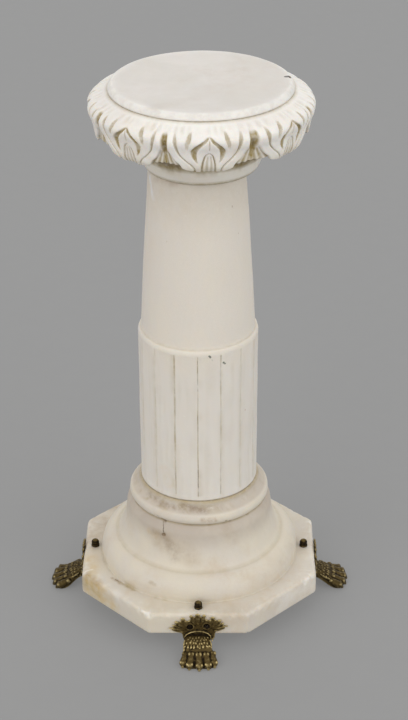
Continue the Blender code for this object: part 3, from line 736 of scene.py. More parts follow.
DART_DEEP = ((13, 0.0), (18, 1.6), (25, 4.4), (36, 6.4), (44, 6.0), (52, 3.6), (60, 1.4), (75, 0.8))
FAN_DEEP = ((38, 0.0), (44, 1.7), (50, 2.8), (58, 2.4), (75, 1.4))
FAN_REED = 13.0              # degrees between the reeds that fan out under a dart
TOP_FLUTES = 4.4             # degrees between the faint flutes above the carving
# How black the dart to the right of each leaf is
DART_SOOT = (0.25, 0.95, 0.5, 0.35, 0.6, 0.3, 0.5, 0.2)


def leaf_places(angles):
    """Which leaf each angle belongs to, and degrees from that leaf's own axis as it was cut."""
    turn = wrapped(angles - FRONT - LEAF_PHASE)
    leaf = np.round(turn / (2 * LEAF_HALF)).astype(int) % LEAF_COUNT
    off = wrapped(turn - leaf * 2 * LEAF_HALF)
    hold = 1 - (off / LEAF_HALF) ** 2
    lean = np.where(off < 0, np.array(LEAF_LEAN_LEFT)[leaf], np.array(LEAF_LEAN_RIGHT)[leaf])
    return leaf, off - np.array(LEAF_SHIFT)[leaf] * hold + off * lean * hold * 1.3


def carve(off, way, leaf):
    """Depth of the carving in mm, and its dirt and soot, over the ring's face."""
    side = np.abs(off)
    arch, fold, strap = (flowing(line, way) for line in (ARCH_LINE, FOLD_LINE, STRAP_LINE))
    slot, inner = straight(SLOT_LINE, way), straight(INNER_LINE, way)
    arch_deep, slot_deep, fold_deep = (
        straight(line, way) for line in (ARCH_DEEP, SLOT_DEEP, FOLD_DEEP))

    def groove(line, half):
        """1 in the middle of a groove beside the axis, and 0 from its half width on."""
        return hump((side - line) * ACROSS, half)

    arch_cut = groove(arch, straight(ARCH_HALF, way)) ** 0.45
    within = blend((arch - side) * ACROSS, -0.5, 2.0) * blend(way, 22.5, 27)
    lobe = within * np.clip(side / np.maximum(arch, 0.5) * 2 - 1, -1, 1) ** 2
    lobe = lobe * blend(-way, -64, -40)
    rib = hump(off * ACROSS, 1.0) * blend(way, 26, 30) * blend(-way, -44, -41)

    bowl = blend((inner - side) * ACROSS, -0.4, 0.6) * blend(way, 46.4, 48.5)
    inner_cut = groove(inner, 1.2) ** 0.7 * blend(way, 46.0, 48.0)
    reeds = 0.5 - 0.5 * np.cos(3 * np.pi * np.clip(side / np.maximum(inner, 0.4), 0, 1))
    reeds = bowl * reeds * blend(way, 48, 54)

    slot_cut = groove(slot, straight(SLOT_HALF, way)) ** 0.5
    fold_cut = groove(fold, straight(FOLD_HALF, way)) ** 0.6
    band = blend((side - fold) * ACROSS, 0, 1.6) * blend((strap - side) * ACROSS, -0.4, 1.6)
    dart_gap = (LEAF_HALF - side) * ACROSS
    dart_cut = np.clip(1.1 * (1 - dart_gap / straight(DART_HALF, way)), 0, 1) ** 0.7
    outside = blend((side - strap) * ACROSS, -0.4, 1.4)
    spread = np.degrees(np.arctan2(dart_gap, np.maximum(way - 36, 0.5)))
    fan_reeds = 0.5 - 0.5 * np.cos(np.radians(spread * 360 / FAN_REED))
    fan_reeds = fan_reeds * outside * blend(way, 43, 49)

    depth = np.maximum.reduce([
        arch_cut * arch_deep, slot_cut * slot_deep, fold_cut * fold_deep,
        inner_cut * 1.6 + 0.5 * within, dart_cut * straight(DART_DEEP, way),
        outside * straight(FAN_DEEP, way)])
    depth = depth + 0.7 * lobe + 0.7 * rib + (0.4 * bowl + 1.0 * reeds) + 0.9 * fan_reeds
    depth = depth - 0.7 * band * blend(way, 24, 40)
    phase = 80 * np.sin(off * 0.21 + leaf * 2.1)
    flutes = 0.5 + 0.5 * np.cos(np.radians(side * 360 / TOP_FLUTES + phase))
    flutes = flutes * (0.6 + 0.4 * np.sin(off * 0.33 + leaf * 1.3))
    depth = depth + 0.8 * flutes * blend(way, 2, 10) * blend(-way, -26, -14)
    depth = depth - 1.9 * blend(way, 58, 74) * (1 - 0.6 * outside)

    dirt_and_shade = np.maximum.reduce([
        blend(arch_cut, 0.1, 0.7) * blend(arch_deep, 0.3, 1.6) * 0.92,
        blend(slot_cut, 0.1, 0.7) * blend(slot_deep, 0.2, 1.4) * 0.62,
        blend(fold_cut, 0.1, 0.8) * blend(fold_deep, 0.4, 2.0) * 0.66,
        np.clip(reeds * 0.5 + inner_cut * 0.62 + rib * 0.6, 0, 0.8),
        blend(dart_cut, 0.1, 0.6) * blend(way, 16, 24),
        0.62 * fan_reeds + 0.22 * outside * blend(way, 44, 52),
        0.2 * flutes * blend(way, 4, 10) * blend(-way, -24, -14)])
    soot_and_shade = blend(dart_cut, 0.55, 1.0) * blend(way, 24, 34) * blend(-way, -60, -46)
    dart = np.where(off > 0, leaf, (leaf - 1) % LEAF_COUNT)
    return depth, np.clip(dirt_and_shade, 0, 1), soot_and_shade * np.array(DART_SOOT)[dart]


class COLUMN_OT_capital(bpy.types.Operator):
    """Carve the capital: eight hanging leaves, eight darts and the neck's bowl"""
    bl_idname = "column.capital"
    bl_label = "Carve the capital"

    def execute(self, context):
        columns = context.scene.column_stone.columns * LEAF_COUNT
        angles = np.arange(columns) * 360 / columns
        # The ring's face: its rows run from the disc joint to the ragged lip, and the carving
        # sinks square to the face
        leaf, off = leaf_places(angles)
        lip = straight(LIP_LINE, np.abs(off))
        top = np.arange(0.0, 12.0, 2.5)[:, None] + 0 * angles
        way = np.concatenate([top, 12.0 + (lip - 12.0) * np.linspace(0, 1, 64)[:, None]])
        lengths = along(RING_FACE)
        radius_line = list(zip(lengths, [radius for radius, drop in RING_FACE]))
        drop_line = list(zip(lengths, [drop for radius, drop in RING_FACE]))
        radii, drops = eased(radius_line, way, 5.0), eased(drop_line, way, 5.0)
        out_r = eased(radius_line, way + 2, 5.0) - eased(radius_line, way - 2, 5.0)
        out_d = eased(drop_line, way + 2, 5.0) - eased(drop_line, way - 2, 5.0)
        size = np.hypot(out_r, out_d)
        depth, dirt_and_shade, soot_and_shade = carve(off + 0 * way, way, leaf + 0 * way.astype(int))
        points = round_points(angles, radii, -drops)
        depth = depth + 0.35 * wander(points, 18, 3) * blend(way, 6, 14)
        depth = depth + 0.12 * wander(points, 6, 4)
        radii = radii - out_d / size * depth
        drops = drops + out_r / size * depth

        # The lip's underside, the hollow under the ring and the bowl of the neck, darkened under
        # the lip by dirt and painted shade
        below = [(radii[-1] - inward, drops[-1] + down) for inward, down in LIP_ROLL]
        (last_r, last_d), (hollow_r, hollow_d) = below[-1], UNDER_FACE[0]
        below += [(last_r * (1 - t) + hollow_r * t, last_d * (1 - t) + hollow_d * t)
                  for t in (1 / 3, 2 / 3)]
        below += [(r + 0 * angles, d + 0 * angles) for r, d in UNDER_FACE]
        under_r, under_d = stacked(below)
        hidden = under_d + 2.2 * wander(round_points(angles, under_r, under_d), 14, 31)
        # Under the lip the hollow darkens with dirt and painted shade, most along the lip's
        # underside; the neck's foot is a dirty joint
        under_dirt_and_shade = 0.9 * blend(-hidden, -84.0, -77.0)
        under_soot_and_shade = 0.5 * blend(-hidden, -80.5, -73.0)
        lip_edge = np.linspace(0.2, 1.0, len(LIP_ROLL))[:, None] + 0 * angles
        under_dirt_and_shade[:len(LIP_ROLL)], under_soot_and_shade[:len(LIP_ROLL)] = lip_edge, lip_edge * 0.8
        under_dirt_and_shade = np.maximum(under_dirt_and_shade, 0.85 * blend(under_d, 95.5, 98.6))
        under_soot_and_shade = np.maximum(under_soot_and_shade, 0.25 * blend(under_d, 97.6, 99.0))
        # Painted shade on the bowl under the ring and on the lowest part of the leaves
        bowl = np.concatenate([0 * way, 0.35 * blend(under_d, 60, 68)])
        low = np.concatenate([0.4 * blend(way, 52, 72), 0 * under_r])
        dirt_and_shade, soot_and_shade = np.concatenate([dirt_and_shade, under_dirt_and_shade]), np.concatenate([soot_and_shade, under_soot_and_shade])
        radii, drops = np.concatenate([radii, under_r]), np.concatenate([drops, under_d])
        joint = blend(-radii, -118.5, -115.0) * blend(-drops, -4, -1)
        dirt_and_shade = np.maximum(dirt_and_shade, 0.5 * joint)

        rings = round_points(angles, radii, CAPITAL_TOP - drops, CAPITAL_X)
        rings[..., 2] = np.clip(rings[..., 2], CAPITAL_FOOT, CAPITAL_TOP)
        marks = {"dirt_and_shade": dirt_and_shade, "soot_and_shade": soot_and_shade, "shade": np.maximum(bowl, low), "pale_and_highlight": 0 * radii}
        mesh = skin("capital", rings, marks=marks)
        settle("leaf_capital", mesh, stone_material("capital"), "capital")
        return {"FINISHED"}


# Shaft, with heights over the plinth's underside
CREASE_HEIGHT = 381.9
SHAFT_TOP_RADIUS = 61.0
CREASE_RADIUS = 74.6
SHOULDER_DROP = 7.5
DRUM_TOP_RADIUS = 78.6
DRUM_FOOT_RADIUS = 78.2
PANELS = 16
PANEL_LINE_TOP = 374.5
PANEL_LINE_FOOT = 163.5
PANEL_LINE_HALF = 1.3
PANEL_LINE_DEEP = 0.75
PANEL_FLATNESS = 0.35
# How dirty each line is, from the front one to the right and round
LINE_DIRT = (
    0.8, 0.68, 0.4, 0.42, 0.35, 0.5, 0.35, 0.55, 0.45, 0.5, 0.4, 0.5, 0.3, 0.3, 0.36, 0.66)
# How far to the right of each line its faint olive stain lies, in mm
HALO_SHIFT = (
    2.6, 0.6, 0.0, 1.5, 0.0, 0.0, 1.0, 0.0, -1.0, 0.0, 1.5, 0.0, 0.0, -0.6, -1.2, -2.2)
# How wide the dirt of each line is
LINE_SOFT = (0.9, 1.0, 1.1, 1.3, 1.2, 1.1, 1.2, 1.0, 1.1, 1.2, 1.1, 1.0, 1.3, 1.5, 1.9, 1.7)


def shaft_heights(foot, top):
    """Rows of the shaft from the top down, close together where it turns or a line ends."""
    return np.concatenate([
        np.linspace(top, CREASE_HEIGHT, 46),
        CREASE_HEIGHT - np.array([0.12, 0.4, 0.9, 1.6, 2.5, 3.7, 5.2, 6.6]),
        PANEL_LINE_TOP - np.array([0.8, 1.6, 2.6, 4.0]),
        np.linspace(PANEL_LINE_TOP - 7, PANEL_LINE_FOOT + 6, 62),
        PANEL_LINE_FOOT + np.array([4.0, 2.6, 1.6, 0.8, 0.0]),
        np.array([foot + 4.5, foot + 2.5, foot + 1.2, foot + 0.4, foot])])


def shaft_profile(heights, foot, top):
    """Radius of the shaft before its panels: a swelling taper, a round shoulder and the drum."""
    drum = np.interp(heights, (foot, CREASE_HEIGHT), (DRUM_FOOT_RADIUS, DRUM_TOP_RADIUS))
    plain = np.interp(heights, (CREASE_HEIGHT, top), (CREASE_RADIUS, SHAFT_TOP_RADIUS))
    rise = np.clip((heights - CREASE_HEIGHT) / (top - CREASE_HEIGHT), 0, 1)
    plain = plain + 0.5 * np.sin(rise * np.pi)
    drop = np.clip(CREASE_HEIGHT - heights, 0, SHOULDER_DROP) / SHOULDER_DROP
    rounding = CREASE_RADIUS + (DRUM_TOP_RADIUS - CREASE_RADIUS) * np.sqrt(1 - (1 - drop) ** 2)
    return np.where(heights >= CREASE_HEIGHT, plain, np.minimum(drum, rounding))


class COLUMN_OT_shaft(bpy.types.Operator):
    """Carve the plain tapered shaft and the panelled drum under it"""
    bl_idname = "column.shaft"
    bl_label = "Carve the shaft"

    def execute(self, context):
        panel = 360 / PANELS
        beside = np.array([0.0, 0.35, 0.6, 0.85, 1.15, 1.5])
        steps = np.concatenate([-beside[:0:-1], beside, np.linspace(1.5, panel - 1.5, 19)[1:-1]])
        offsets = np.concatenate([steps + panel * i for i in range(PANELS)])
        angles = offsets + FRONT
        line = np.round(offsets / panel).astype(int) % PANELS
        foot, top = SHAFT_FOOT - PLINTH_FOOT, SHAFT_TOP - PLINTH_FOOT
        heights = shaft_heights(foot, top)[:, None] + 0 * angles
        over = heights - CREASE_HEIGHT
        radii = shaft_profile(heights, foot, top)
        points = round_points(angles, radii, heights)
        drawn = points * np.array((1.0, 1.0, 0.1))

        # The scratched lines between the panels, and panels a little flatter than the round
        sway = 0.16 * np.sin(heights / 23 + line * 2.1) + 0.1 * np.sin(heights / 9.7 + line)
        signed = (offsets + 0 * heights + panel / 2) % panel - panel / 2
        gap = np.abs(np.radians(signed) * radii - sway)
        within = blend(heights, PANEL_LINE_FOOT - 0.6, PANEL_LINE_FOOT + 1.4)
        within = within * blend(-heights, -PANEL_LINE_TOP - 0.6, -PANEL_LINE_TOP + 1.4)
        strength = 0.75 + 0.35 * wander(points, 26, 12)
        cut = np.clip(1 - gap / PANEL_LINE_HALF, 0, 1) * PANEL_LINE_DEEP * within * strength
        across = np.radians(panel / 2 - np.abs(signed))
        flat = radii * math.cos(math.radians(panel / 2)) / np.cos(across)
        panelled = blend(heights, foot + 1, PANEL_LINE_FOOT + 4)
        panelled = panelled * blend(-heights, -PANEL_LINE_TOP - 3, -PANEL_LINE_TOP + 6)
        flat = (flat - radii) * PANEL_FLATNESS * panelled
        wear = 0.28 * wander(points, 55, 13) * blend(heights, foot, foot + 12)
        wear = wear + 0.07 * wander(points, 9, 14)
        radii = radii + flat - cut + wear * blend(np.abs(over), 0, 5)
        radii = radii - 0.5 * blend(-heights, -foot - 1.2, -foot)

        # Dirt in the lines, a faint stain beside each, streaks, and the joints, with painted shade
        # and a painted highlight near the top
        soft = np.array(LINE_SOFT)[line] * PANEL_LINE_HALF
        dirt_and_shade = np.clip(1.15 - gap / (0.85 * soft), 0, 1) * within * np.array(LINE_DIRT)[line]
        dirt_and_shade = dirt_and_shade * (0.62 + 0.4 * wander(points, 22, 15))
        stained = np.abs(np.radians(signed) * radii - np.array(HALO_SHIFT)[line])
        halo = np.clip(1 - stained / 6.5, 0, 1) ** 1.5 * 0.24 * within
        halo = halo * blend(wander(points, 45, 17), -0.5, 0.5)
        streak = 0.12 * np.clip(wander(drawn, 9, 18), 0, 1)
        streak = streak * blend(-heights, -PANEL_LINE_TOP, -PANEL_LINE_TOP + 20)
        seam = blend(-heights, -foot - 1.8, -foot)
        # Besides dirt, painted shade at the shaft's top under the capital, in the crease and a
        # little over the shoulder
        dirt_and_shade = np.maximum.reduce([
            dirt_and_shade, halo, streak, 0.45 * seam, hump(heights - top, 6) * 0.5,
            0.12 * blend(heights, top - 90, top - 8),
            0.22 * hump(over - 0.4, 1.4) + 0.05 * hump(over + 3, 4)])
        core = np.clip(1 - gap / 0.75, 0, 1) * within * np.array(LINE_DIRT)[line] ** 2
        soot_and_shade = 0.85 * core * blend(wander(points, 13, 16), -0.5, 0.5) + 0.6 * seam
        rings = round_points(angles, radii, heights + PLINTH_FOOT)
        # A faint painted highlight on the shoulder, and pale streaks in the drum's stone; the shade
        # mark darkens the drum towards its foot
        pale_and_highlight = blend(-over, 0, 1.5) * blend(over, -16, -2) * 0.08
        pale_and_highlight = pale_and_highlight + 0.2 * np.clip(wander(drawn, 12, 19), 0, 1) * blend(-over, 0, 6)
        marks = {"dirt_and_shade": np.clip(dirt_and_shade, 0, 1), "soot_and_shade": np.clip(soot_and_shade, 0, 1), "pale_and_highlight": pale_and_highlight,
                 "shade": blend(-over, 4, 60)}
        mesh = skin("shaft", rings, marks=marks)
        settle("column_shaft", mesh, stone_material("shaft"), "shaft")
        return {"FINISHED"}


# Base, from the drum's joint down, as (radius, height over the plinth's underside)
BASE_FACE = (
    (60.0, 156.2), (76.0, 156.2), (79.6, 156.1), (80.6, 154.9), (82.0, 151.4), (84.2, 147.6),
    (87.4, 144.4), (90.3, 142.3), (92.2, 140.2), (93.5, 137.2), (93.9, 134.0), (93.4, 130.9),
    (92.2, 128.6), (90.9, 127.3), (91.0, 126.2), (92.4, 124.4), (95.2, 120.6), (97.4, 115.6),
    (98.8, 107.6), (100.2, 98.4), (102.2, 88.6), (105.2, 79.4), (108.6, 71.8), (111.4, 67.4),
    (113.4, 65.4), (116.2, 64.9), (119.4, 63.9), (123.2, 61.8), (127.2, 58.6), (130.6, 54.4),
    (133.2, 49.4), (134.6, 44.6), (135.0, 40.0), (134.8, 36.2), (134.6, 33.4), (134.8, 32.3),
)
PLINTH_TOP = 32.0
PLINTH_SIDES = 8
PLINTH_COLUMNS = 560
TORUS_ROWS = 104
# Plinth from the torus's foot out and down, as (share of the way out, height, 1 if octagonal)
PLINTH_FACE = (
    (0.06, 32.0, 0.10), (0.14, 32.0, 0.24), (0.25, 32.0, 0.42), (0.37, 32.0, 0.60),
    (0.50, 32.0, 0.76), (0.62, 32.0, 0.88), (0.72, 31.95, 0.95), (0.79, 31.85, 1.0),
)
PLINTH_EDGE = (
    (4.4, 31.9), (3.5, 31.7), (2.6, 31.3), (1.9, 30.8), (1.3, 30.1), (0.75, 29.2), (0.35, 28.1),
    (0.1, 26.8), (0, 24.8), (0, 21.4), (0, 17.6), (0, 13.6), (0, 10.6), (0, 7.8),
    (0, 5.2), (0.1, 3.4), (0.3, 2.2), (0.8, 1.1), (1.6, 0.4), (2.8, 0), (12, 0), (60, 0),
)
# Bruises in the plinth's edges as (place, reach, depth), in the frame
BRUISES = (
    ((-87, -145, 57), 5.5, 1.8), ((-68, -156, 57), 6.5, 2.0), ((96, -138.5, 58), 5, 2.0),
    ((-157, -63, 57), 6, 2.2), ((147, -82, 56), 7, 2.0), ((152.5, -67.5, 55), 4.5, 1.6),
    ((-120, -130.5, 26), 6, 2.2), ((-103, -138, 27), 7, 2.4), ((131, -116, 27), 6, 2.0),
    ((110, 132, 57), 6, 2.0), ((-60, 160, 57), 7, 1.8), ((30, 160, 27), 6, 1.8),
    ((160, 60, 57), 6, 1.9), ((-151, 88, 57), 6.5, 2.2), ((66.4, -160.2, 26), 4, 1.4),
)
# Cracks and holes cut in the turned part as (from, to, reach, depth), in the frame
CRACKS = (
    ((-49.6, -77.8, 154.2), (-44.6, -80.6, 152.4), 2.2, 2.2),
    ((-47.2, -78.9, 152), (-46.8, -86.2, 137), 1.1, 1),
    ((-46.2, -86.8, 135), (-47.6, -86.2, 134), 2.6, 2.6),
    ((36.2, -85.6, 156), (37.4, -85, 155.6), 1.6, 1.2),
    ((41, -82.6, 153), (43.2, -81.6, 152.6), 1.8, 1.5),
)


def octagon_reach(angles, half):
    """Distance from the axis to an octagon's side at each angle, with slightly eased corners."""
    off = np.radians((angles + 22.5) % 45 - 22.5)
    sharp = half / np.cos(off)
    ease = 0.7 * np.clip(1 - np.abs(np.abs(off) - np.radians(22.5)) / np.radians(1.2), 0, 1) ** 2
    return sharp - ease


def base_rows(angles):
    """Radii and heights of the base's rows: the turned part, the plinth's top and its edge."""
    lengths = along(BASE_FACE)
    at = np.concatenate([lengths[:3], np.linspace(lengths[3], lengths[-1], TORUS_ROWS)])
    rows = [(r + 0 * angles, z + 0 * angles) for r, z in zip(
        flowing(list(zip(lengths, [r for r, z in BASE_FACE])), at),
        flowing(list(zip(lengths, [z for r, z in BASE_FACE])), at))]
    rim = octagon_reach(angles, PLINTH_HALF)
    start = BASE_FACE[-1][0] + 0.8
    rows.append((start + 0 * angles, PLINTH_TOP + 0 * angles))
    for share, height, squareness in PLINTH_FACE:
        outer = (PLINTH_HALF * (1 - squareness) + rim * squareness) - 5.6
        rows.append((start + (outer - start) * share / 0.84, height + 0 * angles))
    for inset, height in PLINTH_EDGE:
        rows.append((rim * (1 - inset / PLINTH_HALF), height + 0 * angles))
    return stacked(rows)


def worn_base(rings, radii, heights):
    """The base's points after wear, and how rubbed, bruised and cracked each one is."""
    outward = rings.copy()
    outward[..., 2] = 0
    outward /= np.linalg.norm(outward, axis=-1, keepdims=True)
    held = blend(heights, 2, 8) * blend(-heights, -154, -150)
    swell = 0.5 * wander(rings, 70, 21) + 0.2 * wander(rings, 22, 22)
    swell = swell + 0.07 * wander(rings, 7, 23)
    move = outward * ((swell - 0.15) * held * blend(-radii, -162, -150))[..., None]
    edge = blend(radii, 148, 156) * blend(heights, 18, 28)
    worn = np.clip(wander(rings, 5, 24) + 0.05, 0, 1) * 0.8
    worn = worn + np.clip(wander(rings, 22, 25) - 0.1, 0, 1) * 0.8
    move -= outward * (edge * worn)[..., None]
    move[..., 2] -= edge * worn * 0.6
    top = blend(radii, 134, 142) * blend(heights, 30, 32)
    move[..., 2] += 0.25 * wander(rings, 40, 26) * top - 0.1 * edge
    bruised = np.zeros(radii.shape)
    for place, reach, deep in BRUISES:
        near = np.linalg.norm(rings - np.array(place, float), axis=-1)
        dent = hump(near * (1 + 0.25 * wander(rings, 3.5, 27)), reach) * deep
        bruised = np.maximum(bruised, dent / deep)
        move -= outward * (dent * 0.8)[..., None]
        move[..., 2] += dent * np.where(rings[..., 2] > 42, -0.7, 0.5)
    pits = np.zeros(radii.shape)
    for start, end, reach, deep in CRACKS:
        pits = np.maximum(pits, hump(to_capsule(rings, start, end), reach) * deep)
    move -= outward * pits[..., None]
    rings = rings + move
    rings[..., 2] = np.maximum(rings[..., 2], PLINTH_FOOT)
    return rings, edge * np.clip(worn, 0, 1), bruised, pits


class COLUMN_OT_base(bpy.types.Operator):
    """Carve the base in one block: collar, bead, bell, torus and octagonal plinth"""
    bl_idname = "column.base"
    bl_label = "Carve the base"

    def execute(self, context):
        u = np.arange(PLINTH_COLUMNS) / PLINTH_COLUMNS * PLINTH_SIDES
        angles = 22.5 + (u - 0.42 * np.sin(math.tau * u) / math.tau) * 45
        radii, heights = base_rows(angles)
        rings = round_points(angles, radii, heights + PLINTH_FOOT)
        rings, rubbed, bruised, pits = worn_base(rings, radii, heights)

        undercut = hump(heights - 126.9, 2.2) * blend(-radii, -94, -92)
        step = hump(radii - 113.4, 3.4) * blend(heights, 60, 64)
        foot = hump(radii - 135.2, 3.6) * blend(-heights, -40, -33)
        joint = blend(heights, 150.0, 156.0) * blend(-radii, -84, -80)
        front_left = np.clip(np.cos(np.radians(angles + 128)), 0, 1) ** 3 + 0 * radii
        patch = blend(wander(rings, 24, 29), -0.3, 0.6)
        collar = blend(heights, 141.5, 144.5) * blend(wander(rings, 9, 30) + 0.5 * patch, 0.1, 0.9)
        dirt_and_shade = np.maximum.reduce([
            0.55 * undercut, 0.2 * step, (0.12 + 0.4 * front_left * patch) * foot, 0.55 * joint,
            0.2 * pits, 0.3 * collar * (0.35 + front_left)])
        # The shade mark darkens the bell as painted shade, most just under the bead, and the
        # collar, and leaves the bead
        shade = 0.67 * blend(heights, 88, 114) + 0.28 * blend(heights, 112, 126)
        shade = shade * blend(-heights, -129.0, -126.5) + 0.62 * blend(heights, 140.5, 143.5)
        # Bruises and rubbed edges are whitened as wear; the bead's middle gets a faint painted
        # highlight
        pale_and_highlight = np.maximum.reduce([
            0.8 * bruised, 0.25 * rubbed,
            0.1 * hump(heights - 135.0, 3.5) * blend(-radii, -98, -92)])
        soot_and_shade = 0.25 * undercut * blend(wander(rings, 18, 28), -0.2, 0.6)
        soot_and_shade = np.maximum(soot_and_shade, np.clip(pits / 2.4, 0, 0.8))
        marks = {"dirt_and_shade": dirt_and_shade, "soot_and_shade": soot_and_shade, "shade": shade, "pale_and_highlight": pale_and_highlight}
        mesh = drilled(loose("drilled", skin("base", rings, marks=marks)), drill_mesh())
        mesh.name = "base"
        settle("stone_base", mesh, stone_material("base"), "base")
        return {"FINISHED"}


# Screws and their holes, seen from in front of a face, over the plinth's underside
SCREW_ACROSS = 11.2
SCREW_HEIGHT = 13.8
SCREW_RADIUS = 1.7
HOLE_DEPTH = 12.0
PLATE_MIDDLE = 14.0          # a plate leans about this height
PLATE_TILTS = {"front": 2.8, "right": 0.0, "back": 0.0, "left": 0.0}


def screw_place(face, side):
    """Across and height of a screw hole on its leaning plate."""
    tilt = math.radians(PLATE_TILTS[face])
    rise = SCREW_HEIGHT - PLATE_MIDDLE
    across = side * SCREW_ACROSS * math.cos(tilt) - rise * math.sin(tilt)
    return across, PLATE_MIDDLE + side * SCREW_ACROSS * math.sin(tilt) + rise * math.cos(tilt)


def onto_face(face):
    """Takes (across, -out, height) in mm on a plinth face into the frame, in metres."""
    turn = Matrix.Rotation(math.radians(FACES[face]), 4, "Z")
    shift = Matrix.Translation((0, -PLINTH_HALF, PLINTH_FOOT))
    return turn @ Matrix.Scale(MM, 4) @ shift


def drill_mesh():
    """Round cutters for the eight screw holes in the plinth."""
    proud = 3
    work = bmesh.new()
    for face in FACES:
        for side in (-1, 1):
            across, height = screw_place(face, side)
            middle = Matrix.Translation((across, (HOLE_DEPTH - proud) / 2, height))
            bmesh.ops.create_cone(
                work, cap_ends=True, segments=24, radius1=SCREW_RADIUS, radius2=SCREW_RADIUS,
                depth=HOLE_DEPTH + proud,
                matrix=onto_face(face) @ middle @ Matrix.Rotation(math.pi / 2, 4, "X"))
    mesh = bpy.data.meshes.new("drills")
    work.to_mesh(mesh)
    work.free()
    return mesh


# Paw foot, in mm in front of its face: (across, out from the face, height over the plinth's
# underside). Each row of balls below is a limb, as (across, out, height, radius) at its knots
PLATE_OUTLINE = (
    (0, 30), (4.5, 29), (8.5, 27.5), (11, 24.6), (13, 22.4), (15.4, 23), (18.5, 24.4),
    (23, 23), (26.5, 20.8), (30, 17.6), (32.4, 14.4), (35, 12.2), (33, 9.6), (28, 7.4),
    (23.8, 5), (21.8, 1.4), (21.2, -4.5), (18.6, -9),
)
PLATE_BACK = 0.35
PLATE_FRONT = 2.1
# Leaf lobes as (root across, root height, tip across, tip height, width, stand-out, bud)
LOBES = (
    (0, 16, 0, 31.6, 3.9, 1.9, 3.4), (3.4, 16.6, 8.6, 30.4, 2.7, 1.6, 2.5),
    (13.8, 12, 19.8, 26.2, 3.2, 1.8, 2.9), (15.2, 11.6, 24.4, 23.4, 2.1, 1.3, 0),
    (15.4, 10.6, 28.6, 21.4, 2.9, 1.7, 2.5), (16.6, 8.8, 32.8, 16.9, 2.1, 1.4, 1.6),
    (19, 8.4, 37.8, 12.9, 1.55, 1.9, 1.2), (19.6, 4.8, 35.6, 9.9, 1.7, 1.7, 0),
)
BEADS = 28                   # in the ring round each screw
BEAD_RING = 5.0
BEAD_SIZE = 0.95
# The bar over the wrist as (across, height)
ARCH_BAR = (
    (-18.4, -7), (-18, -2.4), (-15.2, 1.6), (-10, 4.6), (-4, 6.2), (2, 6.5),
    (8, 5.4), (12.6, 3), (15.8, -0.6), (16.8, -6.4),
)
# Paw, station by station, as (out, top, underside, half width, shift across)
PAW_BODY = (
    (0.8, -0.2, -8.4, 16, -1.2), (4, 0.3, -9.2, 17, -1.6), (8, -0.6, -11, 17.9, -1.6),
    (12, -1.8, -14, 18.5, -1.4), (16, -3.8, -17.2, 19.4, -0.7), (20, -6.6, -20.4, 20.8, 0.3),
    (24, -9.6, -23, 21.9, 0.8), (28, -11.6, -24.8, 22.4, 0.8), (32, -13.4, -25.6, 22.8, 0.9),
    (36, -15.8, -25.8, 22, 0.9), (39.5, -19.2, -25.8, 19, 0.9), (42, -21.6, -25.6, 15, 1),
)
PAW_SIDES = 48
# The paw is rounded over its back by these powers of the way round
PAW_SPREAD, PAW_RISE = 0.62, 0.75
KNUCKLES = (
    (-17.8, 23.8, -14.6, 3.6), (-9.2, 27, -13.2, 4.3), (0.6, 28, -13, 4.5),
    (10.6, 27, -13.2, 4.3), (19.6, 23.4, -14, 4),
)
TOES = (
    ((-17, 26, -16.8, 4.5), (-18.2, 30.4, -18.4, 4.9), (-19.2, 33.4, -19.8, 5.2),
     (-19.7, 35.6, -20.4, 5.2)),
    ((-9.2, 29.6, -16.2, 4.8), (-10, 34, -18, 5), (-10.7, 37.4, -19.6, 5.3),
     (-11.2, 40.2, -20.3, 5.4)),
    ((0.8, 30.6, -16.2, 4.9), (1.1, 35.2, -18.2, 5.1), (1.4, 39.2, -19.8, 5.4),
     (1.6, 42.2, -20.5, 5.3)),
    ((10.8, 29.6, -16.2, 4.8), (11.7, 34, -18, 5), (12.6, 37.4, -19.6, 5.3),
     (13.2, 40.2, -20.3, 5.3)),
    ((18.4, 25.8, -16.6, 4.5), (19.4, 30.2, -18.2, 4.9), (20.5, 33.2, -19.6, 5.1),
     (21.1, 35.6, -20.4, 5.1)),
)
PAW_REACH = 48.5                    # nothing stands further out from the plinth's face
TOE_PADS = (2.1, 1.2, 1.7, 3.1)     # half the gap, further out, higher, radius
LOCKS = 9                           # locks of fur across the wrist in each row
LOCK_GAP = 3.7
# Rows of locks as (from, to, thickness), and one lock as (share of the way, share of that)
LOCK_ROWS = ((16.0, 22.2, 1.4), (11.5, 17.6, 1.1), (7.5, 13.2, 0.95), (3.8, 9.2, 0.85))
LOCK_FORM = ((0, 0.5), (0.35, 0.85), (0.7, 1.1), (0.9, 1.0), (1.0, 0.55))
TUFTS = ((9.0, 4.0), (13.0, 6.5), (17.0, 8.5))      # at the wrist's sides as (out, drop)
COUNTERBORE = 3.9                   # radius of the hollow round a screw's head
PROUD_SPAN = 0.66 * MM              # from the deepest hollow's mark to the proudest one's


def paw_top(out, across):
    """Height of the paw's back at a place."""
    top, under, half = (
        np.interp(out, [row[0] for row in PAW_BODY], [row[i] for row in PAW_BODY])
        for i in (1, 2, 3))
    share = min(abs(across) / half, 0.97)
    return under + (top - under) * (1 - share ** (2 / PAW_SPREAD)) ** (PAW_RISE / 2)


